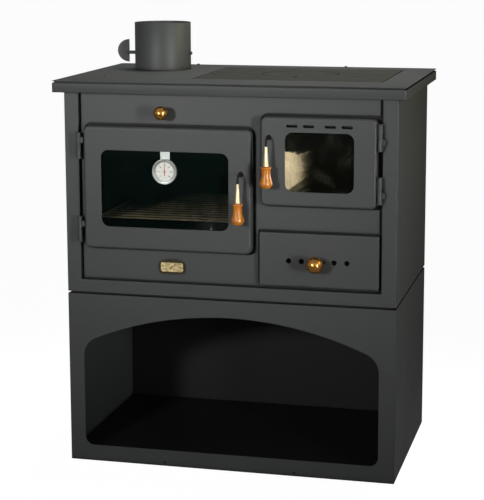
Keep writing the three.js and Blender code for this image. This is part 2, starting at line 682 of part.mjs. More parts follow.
// ---- Doors --------------------------------------------------------------------------------
// One door: pressed shell, glass, clamping frame and rope seal, each behind the one before.
function door(label, xs, zs, windowX, windowZ, latch, vents) {
  const [front, back] = [doorFace, doorBack];
  const shell = softSlab(roundedRect(xs, zs, doorCorner), [front, back], doorEdge);
  const hollow = slab(roundedRect(grow(xs, -doorWall), grow(zs, -doorWall), doorCorner - doorWall),
    [front + doorWall, back + bite]);
  const window = slab(roundedRect(windowX, windowZ, windowCorner), through, 4);
  const spindle = rod(latchShaft / 2 + latchPlay, through, 'front', [latch[0], 0, latch[1]], 16);
  piece(`${label}_door_panel`, 'paint', cut(shell, hollow, window, spindle, ...vents));

  const glassFront = front + glassSetback;
  const glassX = grow(windowX, glassMargin);
  const glassZ = grow(windowZ, glassMargin);
  piece(`${label}_door_glass`, 'glass',
    slab(roundedRect(glassX, glassZ, windowCorner), [glassFront, glassFront + glassThickness], 3));

  const clampFront = glassFront + glassThickness + fit;
  const clampBack = clampFront + innerFrame;
  const inside = [grow(xs, -doorWall - fit), grow(zs, -doorWall - fit)];
  const clamp = slab(roundedRect(...inside, doorCorner - doorWall), [clampFront, clampBack], 3);
  const clampWindow = slab(
    roundedRect(grow(windowX, clampLip), grow(windowZ, clampLip), windowCorner), through, 4);
  piece(`${label}_door_inner_frame`, 'darkPaint', cut(clamp, clampWindow, spindle));

  const seal = [clampBack + fit, plateSetback - fit];
  const sealOuter = slab(roundedRect(...inside, doorCorner - doorWall), seal, 3);
  const mouth = inside.map((span) => grow(span, -gasketWidth));
  const sealInner = slab(roundedRect(...mouth, sealCorner), through, 3);
  piece(`${label}_door_gasket`, 'rope', cut(sealOuter, sealInner));
}

function doors() {
  door('oven', ovenX, ovenZ, ovenWindowX, ovenWindowZ, ovenLatch, []);
  const middle = (fireWindowX[0] + fireWindowX[1]) / 2;
  const height = fireWindowZ[1] + ventAbove;
  const vents = [-ventOuter, -ventInner, ventInner, ventOuter].map((along) => {
    const ends = around(middle + along, ventLength);
    const slot = roundedRect(ends, around(height, ventHeight), ventCorner);
    return slab(slot, [doorFace - bite, doorFace + doorWall + bite], 2);
  });
  door('fire', fireX, fireZ, fireWindowX, fireWindowZ, fireLatch, vents);
}

// ---- Hinges: the lower half and pin stay on the casing, the upper half hangs on the door --
function hinge(label, side, middle, doorEdgeX) {
  const [x, y] = [side * (half - hingeInset), -hingeProud];
  const [low, high] = around(middle, hingeLength);
  const r = hingeBarrel / 2;
  const cap = hingeCap / 2;
  const pin = hingePin / 2;
  const pinTop = high - hingeCapHeight - pinShort;
  const lower = turned([[0, low], [cap, low], [cap, low + hingeCapHeight], [r, low + hingeCapHeight],
    [r, middle - fit / 2], [pin, middle - fit / 2], [pin, pinTop], [0, pinTop]], 14, 'up', [x, y, 0]);
  const lugXs = sorted(x, side * (pillarInner + lugReach));
  const lug = block(lugXs, [y + bite, -fit], around(middle - lugDrop, lugHeight));
  piece(`${label}_hinge_on_frame`, 'paint', join(lower, lug));

  const bore = pin + hingePlay;
  const capLow = high - hingeCapHeight;
  const upper = turned([[bore, middle + fit / 2], [r, middle + fit / 2], [r, capLow], [cap, capLow],
    [cap, high], [0, high], [0, capLow], [bore, capLow], [bore, middle + fit / 2]], 14, 'up', [x, y, 0]);
  const earXs = sorted(x - side * (bore + bite), doorEdgeX + side * fit);
  const ear = block(earXs, around(y + bite, lugThickness), around(middle + lugRise, lugHeight));
  piece(`${label}_hinge_on_door`, 'paint', join(upper, ear));
}

function hinges() {
  hinge('oven_upper', -1, ovenZ[1] - ovenHingeTop, ovenX[0]);
  hinge('oven_lower', -1, ovenZ[0] + ovenHingeLow, ovenX[0]);
  hinge('fire_upper', 1, fireZ[1] - fireHingeInset, fireX[1]);
  hinge('fire_lower', 1, fireZ[0] + fireHingeInset, fireX[1]);
}

// ---- Handles: spindle with latch tongue, polished ferrule, turned wooden grip -------------
function handle(label, [x, z], side) {
  const hangY = doorFace - handleReach;
  const r = handleRod / 2;
  const top = z - handleDrop;
  const low = top - ferruleLength;
  const tongueY = [plateBack + 2 * fit, plateBack + 2 * fit + tongueThickness];
  const spindle = rod(latchShaft / 2, [-tongueY[1], -doorFace + spindleProud], 'front', [x, 0, z], 12);
  const path = new THREE.CurvePath();
  const corner = (y, h) => new THREE.Vector3(x, y, h);
  const bendY = hangY + handleBend;
  const bendZ = z - handleBend;
  path.add(new THREE.LineCurve3(corner(doorFace, z), corner(bendY, z)));
  path.add(new THREE.QuadraticBezierCurve3(corner(bendY, z), corner(hangY, z), corner(hangY, bendZ)));
  path.add(new THREE.LineCurve3(corner(hangY, bendZ), corner(hangY, low - rodInGrip)));
  const section = new THREE.Shape();
  section.absarc(0, 0, r, 0, 2 * Math.PI);
  const bent = { steps: 16, extrudePath: path, curveSegments: 4 };
  const bar = solid(new THREE.ExtrudeGeometry(section, bent));
  const tongueXs = sorted(x - side * tongueTail, x + side * tongueLength);
  const tongue = block(tongueXs, tongueY, around(z, tongueHeight));
  piece(`${label}_handle_rod`, 'darkPaint', join(spindle, bar, tongue));

  const hole = r + fit;
  const cone = [[hole, low], [ferruleLow / 2, low], [ferruleLow / 2, low + ferruleFoot],
    [ferruleTop / 2, top], [hole, top], [hole, low]];
  piece(`${label}_handle_ferrule`, 'chrome', turned(cone, 14, 'up', [x, hangY, 0]));

  const gripHigh = low - fit;
  const at = (share) => gripHigh - gripLength * share;
  const gripProfile = [[0, at(1)], [gripFlare * 0.26, at(0.985)], [gripFlare * 0.42, at(0.92)],
    [gripFlare / 2, at(0.78)], [gripFlare * 0.485, at(0.66)], [gripWaist * 0.53, at(0.5)],
    [gripWaist / 2, at(0.38)], [gripWaist * 0.53, at(0.24)], [gripTop * 0.49, at(0.1)],
    [gripTop * 0.47, at(0.03)], [gripTop * 0.4, at(0)], [hole, at(0)], [hole, at(0.58)], [0, at(0.58)]];
  piece(`${label}_handle_grip`, 'grip', turned(gripProfile, 20, 'up', [x, hangY, 0]));
}

// A ball knob on a waisted neck, pointing forward from its seat.
function knob(diameter, stand, seat, place) {
  const r = diameter / 2;
  const foot = seat / 2;
  const bore = spigot / 2 + fit;
  const start = Math.asin((foot * neckShare) / r);
  const arc = [];
  for (let i = 0; i < 8; i += 1) {
    const turn = start + ((Math.PI - start) * i) / 8;
    arc.push([r * Math.sin(turn), stand - r * Math.cos(turn)]);
  }
  const deep = stand - r * boreShare;
  const neck = [[bore, 0], [foot, 0], [foot * neckShare, neckLength]];
  return turned([...neck, ...arc, [0, stand + r], [0, deep], [bore, deep], [bore, 0]], 20, 'front', place);
}

// ---- Ash drawer with sliding air shutter --------------------------------------------------
const drawerMiddle = (drawerX[0] + drawerX[1]) / 2 + airShift;
const airZ = drawerZ[0] + airLow;
const airHoles = [-1, 1].flatMap((side) => [-1, 1].map((pair) =>
  drawerMiddle + (side * airSpread) / 2 + (pair * airPitch) / 2));

function ashDrawer() {
  const front = -drawerProud;
  const back = plateSetback - fit - drawerRoom;
  const shell = softSlab(roundedRect(drawerX, drawerZ, drawerCorner), [front, back], drawerEdge, 2);
  const hollow = block(grow(drawerX, -sheet), [front + sheet, back + bite], grow(drawerZ, -sheet));
  const bores = airHoles.map((x) => rod(airHole / 2, through, 'front', [x, 0, airZ], 12));
  const stem = airStem / 2;
  const slotX = grow([drawerMiddle, drawerMiddle], airTravel + stem + slotPlay);
  const slot = slab(roundedRect(slotX, around(airZ, airStem + 2 * slotPlay), stem), through);
  piece('ash_drawer_front', 'paint', cut(shell, hollow, slot, ...bores));

  const pan = block(panX, panY, panZ);
  const space = block(grow(panX, -panWall), grow(panY, -panWall), [panZ[0] + panWall, panZ[1] + bite]);
  const hood = block(grow(panX, -hoodInset), [panY[0] - bite, panY[0] + hoodDepth],
    [airZ - hoodDrop, panZ[1] + bite]);
  piece('ash_pan', 'darkPaint', cut(pan, space, hood));

  const plateY = [panY[0], panY[0] + shutterSheet];
  const plateX = grow([airHoles[0], airHoles[3]], shutterEnd);
  const shutter = block(plateX, plateY, around(airZ, shutterHeight));
  const seat = -front + stemProud;
  const place = [drawerMiddle, 0, airZ];
  const post = rod(stem, [-plateY[1] + fit, seat], 'front', place, 12);
  const thread = rod(spigot / 2, [seat - bite, seat + spigotLength], 'front', place, 12);
  piece('air_shutter', 'darkPaint', cut(join(shutter, post, thread), ...bores));
  const ballSeat = front - stemProud - fit;
  const ball = knob(airKnob, airStand - stemProud - fit, airSeat, [drawerMiddle, ballSeat, airZ]);
  piece('air_knob', 'copper', ball);
}

// ---- Direct-draught pull ------------------------------------------------------------------
function draftPull() {
  const front = fasciaSetback - rodProud;
  const ballSeat = [draftX, front - fit, draftZ];
  piece('draft_knob', 'copper', knob(draftKnob, draftStand - rodProud - fit, draftSeat, ballSeat));
  const flapFront = gasWallY - fit - flapSheet;
  const place = [draftX, 0, draftZ];
  const bar = rod(draftRod / 2, [-flapFront - bite, -front], 'front', place, 12);
  const thread = rod(spigot / 2, [-front - bite, -front + spigotLength], 'front', place, 12);
  const flap = block(around(draftX, draftFlap[0]), [flapFront, flapFront + flapSheet],
    around(draftZ, draftFlap[1]));
  piece('draft_rod', 'darkPaint', join(bar, thread, flap));
}

// ---- Badge and oven thermometer -----------------------------------------------------------
// The badge's outline: round corners and an arched top, drawn in by the given amount.
function badgeOutline(inset) {
  const w = badgeWidth / 2 - inset;
  const [low, crown] = [-badgeHeight / 2 + inset, badgeHeight / 2 - inset];
  const r = badgeCorner - inset;
  const centre = crown - badgeArch - r;
  const turn = Math.PI / 3; // where the corner runs into the arch
  const joint = [w - r + r * Math.cos(turn), centre + r * Math.sin(turn)];
  const outline = new THREE.Shape();
  outline.moveTo(-w + r, low);
  outline.absarc(w - r, low + r, r, -Math.PI / 2, 0);
  outline.absarc(w - r, centre, r, 0, turn);
  outline.quadraticCurveTo(0, 2 * crown - joint[1], -joint[0], joint[1]);
  outline.absarc(-w + r, centre, r, Math.PI - turn, Math.PI);
  outline.absarc(-w + r, low + r, r, Math.PI, 1.5 * Math.PI);
  return outline;
}

function badge() {
  const back = fasciaSetback - fit;
  const front = back - badgeThickness;
  const plate = slab(badgeOutline(0), [front, back], 4);
  const sunk = slab(badgeOutline(badgeBorder), [front - bite, front + badgeRecess], 4);
  const fieldX = around(0, badgeField[0]);
  const fieldZ = around(-fieldDrop, badgeField[1]);
  const field = slab(roundedRect(fieldX, fieldZ, badgeCorner / 2), [front, back - fit], 3);
  const middle = [ovenMiddle + badgeShift, 0, bodyLow + badgeLift];
  piece('badge_plate', 'brass', join(cut(plate, sunk), field).translate(middle));
}

function thermometer() {
  const x = (ovenWindowX[0] + ovenWindowX[1]) / 2 + gaugeShift;
  const z = ovenWindowZ[1] - gaugeDrop;
  const strapBack = doorFace + glassSetback - fit;
  const strapFront = strapBack - strapSheet;
  const strapZ = [z - strapTail, ovenWindowZ[1] + glassMargin - strapShort];
  const strap = block(around(x, strapWidth), [strapFront, strapBack], strapZ);
  piece('thermometer_strap', 'steel', strap);

  const place = [x, 0, z];
  const r = gaugeDiameter / 2;
  const inner = r - gaugeRim;
  const back = fit - strapFront;
  const front = back + gaugeDepth;
  const floor = back + gaugeFloor;
  const seat = inner - rimStep;
  const outside = [[r - rimRound, back], [r, back + rimRound], [r, front - rimRound]];
  const rim = [[r - rimRound, front], [inner, front - rimLip], [seat, front - rimRound - rimLip]];
  const shell = [[0, back], ...outside, ...rim, [seat, floor], [0, floor]];
  piece('thermometer_case', 'steel', turned(shell, 28, 'front', place));
  const dialFront = floor + fit + dialSheet;
  piece('thermometer_dial', 'dial', rod(seat - fit, [floor + fit, dialFront], 'front', place, 28));

  const hubBack = dialFront + fit;
  const hubFront = hubBack + hubHeight;
  const hub = turned([[0, hubBack], [hubRadius, hubBack], [hubRadius, hubFront], [0, hubFront + fit]],
    12, 'front', place);
  const pointer = new THREE.Shape();
  pointer.moveTo(-needleWidth / 2, -needleTail);
  pointer.lineTo(needleWidth / 2, -needleTail);
  pointer.lineTo(needleSheet / 2, needleLength);
  pointer.lineTo(-needleSheet / 2, needleLength);
  const middle = -(hubBack + hubFront) / 2;
  const needle = slab(pointer, around(0, needleSheet)).translate([x, middle, z]);
  piece('thermometer_needle', 'needle', join(hub, needle));
}

// ---- Oven, firebox and gas way behind the front plate -------------------------------------
const cavityX = [ovenX[0] + sealInset + ovenHingeRoom, ovenX[1] - sealInset + ovenLatchRoom];
const cavityZ = grow(grow(ovenZ, -sealInset), ovenLipRoom);
const ovenEnd = bodyDepth - ovenBackRoom;
const fireCavityX = [fireX[0] + sealInset - fireLatchRoom, fireX[1] - sealInset + fireHingeRoom];
const grateZ = fireZ[0] + grateLift;

function ovenInside() {
  const outer = block(grow(cavityX, linerSheet), [linerFront, ovenEnd], grow(cavityZ, linerSheet));
  const inner = block(cavityX, [linerFront - bite, ovenEnd - linerSheet], cavityZ);
  const rackLow = cavityZ[0] + rackHeight;
  const shelf = [rackLow - fit - linerSheet, rackLow - fit];
  const deep = [linerFront + runnerStart, ovenEnd - linerSheet + bite];
  const left = block([cavityX[0] - bite, cavityX[0] + runnerWidth], deep, shelf);
  const right = block([cavityX[1] - runnerWidth, cavityX[1] + bite], deep, shelf);
  piece('oven_liner', 'enamel', join(cut(outer, inner), left, right));

  const r = rackWire / 2;
  const wires = grow(cavityX, -rackSide - r);
  const [front, back] = [linerFront + rackFront, ovenEnd - rackBack];
  const wireZ = rackLow + r;
  const bars = wires.map((x) => rod(r, [-back, -front], 'front', [x, 0, wireZ], 6));
  const count = Math.floor((back - front - rackWire) / rackPitch);
  const step = (back - front - rackWire) / count;
  for (let i = 0; i <= count; i += 1) {
    bars.push(rod(r * crossShare, wires, 'right', [0, front + r + i * step, wireZ], 6));
  }
  piece('oven_rack', 'chrome', join(...bars));
}

function firebox() {
  const y = [linerFront, fireEnd];
  const [low, high] = [ashMouthZ[0] - shellFoot, fireZ[1] - shellShort];
  const outer = block(grow(fireCavityX, fireWall), y, [low, high]);
  const inner = block(fireCavityX, [y[0] - bite, y[1] - fireWall], [low + fireWall, high + bite]);
  const shelfZ = [grateZ - shelfSheet, grateZ];
  const shelf = block(grow(fireCavityX, bite), [y[0], y[1] - bite], shelfZ);
  const brickRoom = brick + shelfLip;
  const holeX = grow(fireCavityX, -brickRoom);
  const holeY = [y[0] + shelfFront, y[1] - fireWall - brickRoom];
  const hole = block(holeX, holeY, grow(shelfZ, bite));
  const guideTop = panZ[0] - fit;
  const guideY = [y[0], panY[1] - guideShort];
  const guides = [-1, 1].map((side) => {
    const wall = side < 0 ? fireCavityX[0] : fireCavityX[1];
    const edge = side < 0 ? panX[0] + guideReach : panX[1] - guideReach;
    return block(sorted(wall + side * bite, edge), guideY, [guideTop - guideSheet, guideTop]);
  });
  piece('firebox_shell', 'darkPaint', join(cut(outer, inner), cut(shelf, hole), ...guides));

  const foot = grateZ + fit;
  const grate = block(grow(holeX, grateLap), grow(holeY, grateLap), [foot, foot + grateThickness]);
  const slots = [];
  const pitch = (holeX[1] - holeX[0] - 2 * grateLap) / grateSlots;
  for (let i = 0; i < grateSlots; i += 1) {
    const x = holeX[0] + grateLap + pitch * (i + 0.5);
    slots.push(block(around(x, grateSlot), grow(holeY, -grateEnd), through));
  }
  piece('fire_grate', 'castIron', cut(grate, ...slots));

  const top = foot + brickTop;
  const brickY = [y[0] + brickFront, y[1] - fireWall - fit];
  const innerX = grow(fireCavityX, -fit);
  const sideEnd = brickY[1] - brick - fit;
  const slope = new THREE.Shape();
  slope.moveTo(brickY[0], foot);
  slope.lineTo(sideEnd, foot);
  slope.lineTo(sideEnd, top - brickDrop);
  slope.lineTo(brickY[0], top);
  const profile = new THREE.ExtrudeGeometry(slope, { depth: brick, bevelEnabled: false });
  profile.rotateX(Math.PI / 2).rotateZ(Math.PI / 2);
  piece('firebrick_left', 'brick', solid(profile.translate(innerX[0], 0, 0)));
  const heights = [foot, top];
  piece('firebrick_right', 'brick', block([innerX[1] - brick, innerX[1]], [brickY[0], sideEnd], heights));
  piece('firebrick_back', 'brick', block(innerX, [brickY[1] - brick, brickY[1]], heights));
}

function gasWay() {
  const across = [-plateHalf, draftX + gasPort[0] / 2 + gasWallEnd];
  const heights = [cavityZ[1] + linerSheet + fit, plateHigh - gasWallShort];
  const wall = block(across, [gasWallY, gasWallY + sheet], heights);
  const port = block(around(draftX, gasPort[0]), through, around(draftZ, gasPort[1]));
  piece('gas_wall', 'darkPaint', cut(wall, port));
}

logStore();
casing();
fascia();
frontPlate();
hob();
flue();
doors();
hinges();
handle('oven', ovenLatch, 1);
handle('fire', fireLatch, -1);
ashDrawer();
draftPull();
badge();
thermometer();
ovenInside();
firebox();
gasWay();

// The origin is on the floor, in the middle of the whole footprint.
const reach = doorProud + handleReach + gripFlare / 2;
stove.position.y = -(bodyDepth + backOverhang - reach) / 2;
stove.updateMatrixWorld(true);

export default stove;
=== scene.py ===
# %% [markdown]
# # A wood cookstove, dressed for a studio photograph
# A cookstove of this kind is folded steel sheet with a cast cooking plate, pressed doors with
# ceramic glass, and small bright parts: ball knobs, a thermometer and handles with wooden grips.
# The engineering model is already there as a frame. We load it first and measure it, because
# everything made below has to stay where that model puts it.

# %% Load the engineering model
import json
import math
import bpy
from mathutils import Matrix, Vector


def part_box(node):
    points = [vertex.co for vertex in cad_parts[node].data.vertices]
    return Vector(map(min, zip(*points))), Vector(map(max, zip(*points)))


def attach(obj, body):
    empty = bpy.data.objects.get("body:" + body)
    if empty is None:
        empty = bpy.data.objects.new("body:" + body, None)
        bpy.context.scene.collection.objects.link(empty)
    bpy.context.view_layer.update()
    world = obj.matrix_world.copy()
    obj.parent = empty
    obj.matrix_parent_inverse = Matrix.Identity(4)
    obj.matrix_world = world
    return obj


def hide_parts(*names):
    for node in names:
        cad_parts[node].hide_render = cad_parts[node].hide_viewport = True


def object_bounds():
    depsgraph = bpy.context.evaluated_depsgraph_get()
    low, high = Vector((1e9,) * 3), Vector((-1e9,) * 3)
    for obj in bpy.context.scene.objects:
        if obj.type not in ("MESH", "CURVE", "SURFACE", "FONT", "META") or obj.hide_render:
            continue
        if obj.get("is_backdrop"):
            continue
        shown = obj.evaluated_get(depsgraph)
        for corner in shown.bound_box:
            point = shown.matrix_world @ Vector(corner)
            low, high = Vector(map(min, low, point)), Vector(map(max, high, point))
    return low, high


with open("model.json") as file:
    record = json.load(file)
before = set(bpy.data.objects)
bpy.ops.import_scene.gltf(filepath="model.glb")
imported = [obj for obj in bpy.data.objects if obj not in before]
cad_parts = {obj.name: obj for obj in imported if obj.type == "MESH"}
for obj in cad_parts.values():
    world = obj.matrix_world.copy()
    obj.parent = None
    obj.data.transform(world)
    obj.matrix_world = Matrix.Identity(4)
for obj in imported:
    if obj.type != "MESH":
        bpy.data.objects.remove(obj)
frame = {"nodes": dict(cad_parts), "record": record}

model_low, model_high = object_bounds()
nodes = frame["nodes"]
body_of = {
    node: body
    for body, names in frame["record"]["behaviour"]["bodies"].items()
    for node in names
}
print(f"{len(nodes)} nodes on {len(set(body_of.values()))} bodies, {model_high.z:.3f} m high")

# %% [markdown]
# ## The camera
# A likeness starts with the viewpoint. The photograph was taken a little to the right of the
# stove and from above the hob. Four numbers settle that view: where the camera stands, how far
# it is turned, how far it looks down, and the lens. We write them as a photographer would and
# build the camera's three axes from them, instead of turning it by eye.

# %% Place the camera
MM = 0.001
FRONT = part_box("casing_front_frame")[0].y  # the casing's front plane, in the model's frame


def at(x, y, z):
    """A point in metres, from millimetres across, behind the casing's front plane and up."""
    return Vector((x * MM, FRONT + y * MM, z * MM))


turn, dip, tilt = 0.245, 0.166, -0.003
ahead = Vector((-math.sin(turn) * math.cos(dip), math.cos(turn) * math.cos(dip), -math.sin(dip)))
level = Vector((math.cos(turn), math.sin(turn), 0))
upright = level.cross(ahead)
right = level * math.cos(tilt) + upright * math.sin(tilt)
over = upright * math.cos(tilt) - level * math.sin(tilt)

bpy.ops.object.camera_add()
camera = bpy.context.object
camera.name = "camera"
camera.matrix_world = Matrix.Translation(at(834.7, -3211, 1156.9)) @ Matrix(
    (right, over, -ahead)
).transposed().to_4x4()
camera.data.sensor_width = 36
camera.data.lens = 36 * 1582.5 / 500  # focal length over the picture's long side, in pixels
camera.data.shift_y = -0.1
bpy.context.scene.camera = camera
print(f"lens {camera.data.lens:.1f} mm, camera {camera.location.length:.2f} m away")

# %% [markdown]
# ## Working in edit mode from a script
# By hand we click a face and press a key. In a script the click becomes a test: a face is
# selected by where it lies or where it points. These helpers do only that, plus the three
# things every piece needs at its end: its place put into the mesh, its modifiers applied, and
# its edges softened so that they catch light as bent sheet does.


# %% Selecting
def clear():
    """Object mode, with nothing selected."""
    if bpy.context.object and bpy.context.mode != "OBJECT":
        bpy.ops.object.mode_set(mode="OBJECT")
    bpy.ops.object.select_all(action="DESELECT")


def only(piece):
    """Object mode, with this piece alone selected."""
    clear()
    piece.select_set(True)
    bpy.context.view_layer.objects.active = piece


def pick(piece, kind, test):
    """Edit mode, with the parts that pass the test selected."""
    only(piece)
    bpy.ops.object.mode_set(mode="EDIT")
    bpy.ops.mesh.select_mode(type=kind)
    bpy.ops.mesh.select_all(action="DESELECT")
    bpy.ops.object.mode_set(mode="OBJECT")
    points = [vertex.co for vertex in piece.data.vertices]
    if kind == "EDGE":
        for edge in piece.data.edges:
            edge.select = test(*(points[i] for i in edge.vertices))
    else:
        for face in piece.data.polygons:
            face.select = test(face.center, face.normal)
    bpy.ops.object.mode_set(mode="EDIT")


print("edges and faces are selected by tests")


# %% Rounding and closing
def bevel(piece, radius, segments, test):
    """Rounds the edges that pass the test."""
    pick(piece, "EDGE", test)
    bpy.ops.mesh.bevel(offset=radius * MM, segments=segments, affect="EDGES")
    bpy.ops.object.mode_set(mode="OBJECT")
    return piece


def close_up():
    """In edit mode, welds the rings of a swept form, caps its ends and turns its faces out."""
    bpy.ops.mesh.select_all(action="SELECT")
    bpy.ops.mesh.remove_doubles(threshold=1e-6)
    bpy.ops.mesh.fill_holes(sides=0)
    bpy.ops.mesh.normals_make_consistent(inside=False)
    bpy.ops.object.mode_set(mode="OBJECT")


def settle(piece):
    """The object goes to the origin and its place into its mesh."""
    only(piece)
    bpy.ops.object.transform_apply(location=True, rotation=True, scale=True)
    return piece


def modify(piece, kind, **settings):
    """Adds a modifier and applies it."""
    only(piece)
    modifier = piece.modifiers.new(kind.lower(), kind)
    for name, value in settings.items():
        setattr(modifier, name, value)
    bpy.ops.object.modifier_apply(modifier=modifier.name)
    return piece


def soften(piece, radius, segments=2, angle=40):
    """Rounds the sharp edges and shades the faces smoothly between what stays sharp."""
    modify(
        piece, "BEVEL", width=radius * MM, segments=segments,
        limit_method="ANGLE", angle_limit=math.radians(angle), use_clamp_overlap=True,
    )
    only(piece)
    bpy.ops.object.shade_smooth_by_angle(angle=math.radians(angle))
    return modify(piece, "WEIGHTED_NORMAL", keep_sharp=True)


print("lengths are in mm, so", 1 / MM, "to the metre")


# %% Cutting, welding and placing
def carve(piece, *cutters):
    """Cuts the cutters out of the piece and clears them away."""
    for cutter in cutters:
        modify(piece, "BOOLEAN", operation="DIFFERENCE", solver="EXACT", object=cutter)
        bpy.data.objects.remove(cutter)
    return piece


def unite(piece, *others):
    """Welds the others onto the piece as one solid."""
    for other in others:
        modify(piece, "BOOLEAN", operation="UNION", solver="EXACT", object=other)
        bpy.data.objects.remove(other)
    return piece


def place(piece, node, *more):
    """The piece stands for these nodes of the model, moves with them and takes their finish."""
    piece.name = piece.data.name = node + "_shape"
    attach(piece, body_of[node])
    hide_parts(node, *more)
    made.append(piece)
    return piece


slot_of = {part["node"]: part["material_slot"] for part in frame["record"]["subparts"]}
made = []
print(f"{len(set(slot_of.values()))} finishes")

# %% [markdown]
# ## Two kinds of starting form
# Nearly everything on a stove is either folded and cut from sheet or turned on a lathe. Sheet
# starts as a block whose corners and edges are bevelled. A turned part starts as a ring that is
# extruded along its axis and resized at each step, just as a turner's template is followed.


# %% Blocks with rounded corners
def block(low, high):
    """A plain block between two corners, the start of every sheet piece and cutter."""
    clear()
    bpy.ops.mesh.primitive_cube_add(size=1, location=(low + high) / 2)
    piece = bpy.context.object
    piece.scale = high - low
    return settle(piece)


def corners(piece, radius, along=1, segments=10):
    """Rounds the block's four edges that run along one axis: 0, 1 or 2."""
    other = [axis for axis in range(3) if axis != along]
    return bevel(piece, radius, segments, lambda a, b: all(abs(a[i] - b[i]) < 1e-6 for i in other))


def front_edge(piece, radius, segments=6):
    """Rounds the rim of the block's front face."""
    face_y = min(vertex.co.y for vertex in piece.data.vertices)
    return bevel(piece, radius, segments, lambda a, b: max(a.y, b.y) - face_y < 1e-6)


def tray(low, high, wall):
    """The hollow of a tray that is open at its back, as a cutter."""
    inside = Vector((wall, wall, wall)) * MM
    back = Vector((high.x, high.y + 0.02, high.z))
    return block(low + inside, back - Vector((inside.x, 0, inside.z)))


print("sheet starts as a block")


# %% Turned forms
def turned(profile, axis, centre, sides=48):
    """Extrudes a ring along its axis and resizes it at each step: (radius, distance) in mm."""
    clear()
    (radius, height), *steps = profile
    bpy.ops.mesh.primitive_circle_add(vertices=sides, radius=radius * MM)
    piece = bpy.context.object
    bpy.ops.object.mode_set(mode="EDIT")
    bpy.ops.mesh.select_mode(type="VERT")
    bpy.ops.mesh.select_all(action="SELECT")
    bpy.ops.transform.translate(value=(0, 0, height * MM))
    for next_radius, next_height in steps:
        rise = (0, 0, (next_height - height) * MM)
        bpy.ops.mesh.extrude_region_move(TRANSFORM_OT_translate={"value": rise})
        grow = next_radius / radius
        middle = (0, 0, next_height * MM)
        bpy.ops.transform.resize(value=(grow, grow, 1), center_override=middle)
        radius, height = next_radius, next_height
    close_up()
    piece.rotation_euler = {"up": (0, 0, 0), "front": (math.pi / 2, 0, 0),
                            "right": (0, math.pi / 2, 0)}[axis]
    piece.location = centre
    return settle(piece)


def polish(piece, angle=35):
    """Shades a turned piece smoothly, and keeps its crisp shoulders."""
    only(piece)
    bpy.ops.object.shade_smooth_by_angle(angle=math.radians(angle))
    return piece


print("turned parts start as a ring")

# %% [markdown]
# ## Folded sheet
# The casing is 2 mm sheet bent on a brake. The model's solids have the right folds but knife
# edges, and a knife edge never catches the light. A copy of each solid is merged, its flat
# areas are dissolved into single faces, and a small bevel gives the bend its radius. A bevel
# was chosen over a shader trick because it also shows in profile and survives an export.


# %% Soften the folded sheets
def refine(node, radius, segments=2):
    """A copy of a solid of the model, with merged faces and rounded edges."""
    only(nodes[node])
    nodes[node].hide_set(False)
    bpy.ops.object.duplicate()
    piece = bpy.context.object
    piece.parent = None
    bpy.ops.object.mode_set(mode="EDIT")
    bpy.ops.mesh.select_all(action="SELECT")
    bpy.ops.mesh.remove_doubles(threshold=2e-6)
    bpy.ops.mesh.dissolve_limited(angle_limit=math.radians(1))
    bpy.ops.object.mode_set(mode="OBJECT")
    settle(piece)
    soften(piece, radius, segments)
    return place(piece, node)


SHEETS = {
    "base_left_side": 0.8, "base_right_side": 0.8, "base_back_panel": 0.5,
    "base_floor_pan": 0.8, "base_top_panel": 0.5, "casing_front_frame": 0.8,
    "left_side_panel": 0.8, "right_side_panel": 0.8, "back_panel": 0.5,
    "body_floor_pan": 0.5, "fascia_panel": 0.6, "front_plate": 0.5, "hob_skirt": 1.0,
    "hob_top_plate": 0.35, "hob_cast_plate": 0.6, "oven_liner": 0.8,
    "firebox_shell": 0.8, "fire_grate": 0.8, "ash_pan": 0.6, "gas_wall": 0.4,
    "firebrick_left": 1.5, "firebrick_right": 1.5, "firebrick_back": 1.5,
    "oven_door_inner_frame": 0.5, "fire_door_inner_frame": 0.5,
    "oven_door_gasket": 2.0, "fire_door_gasket": 2.0, "draft_rod": 0.4,
    "air_shutter": 0.3, "oven_door_glass": 0.6, "fire_door_glass": 0.6,
}
sheets = {node: refine(node, bend) for node, bend in SHEETS.items()}
print(f"{len(sheets)} pieces softened")

# %% [markdown]
# ## The hob's joints
# Seen from this low angle a joint in the hob is a hair line, yet it is what tells the plates
# apart. The real joints are worn a little wider at the top, so a shallow step is cut along the
# border of the cast plate, round its well, and along the top of the skirt. Each cutter is a
# frame: a block with a smaller block taken out of it.


# %% Open the joints of the hob
def border(low, high, width, reach=10):
    """A frame along the sides of a box, cutting inwards by its width and freely outwards."""
    out, inwards = Vector((reach, reach, 0)) * MM, Vector((width, width, 0)) * MM
    rise = Vector((0, 0, reach)) * MM
    frame_block = block(low - out, high + out)
    carve(frame_block, block(low + inwards - rise, high - inwards + rise))
    return frame_block


LID_X, LID_Y, SKIRT_TOP = 107.5, 243, 845.8
WELL_RADIUS, WELL_FLOOR = 87, 848.4
CAST_GAP, CAST_STEP = 1.1, 2  # the step's width and depth
SKIRT_GAP, SKIRT_STEP = 3.8, 0.9
ABOVE = 5  # the cutters reach this far over the plates

cast_low, cast_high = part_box("hob_cast_plate")
cast_low.z = cast_high.z - CAST_STEP * MM
cast_high.z += ABOVE * MM
well = turned([(WELL_RADIUS, WELL_FLOOR), (WELL_RADIUS, 860)], "up", at(LID_X, LID_Y, 0), 128)
carve(sheets["hob_cast_plate"], border(cast_low, cast_high, CAST_GAP), well)
skirt_low, skirt_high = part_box("hob_skirt")
skirt_low.z, skirt_high.z = (SKIRT_TOP - SKIRT_STEP) * MM, (SKIRT_TOP + ABOVE) * MM
carve(sheets["hob_skirt"], border(skirt_low, skirt_high, SKIRT_GAP))
print("hob joints opened, skirt up to", SKIRT_TOP - SKIRT_STEP)

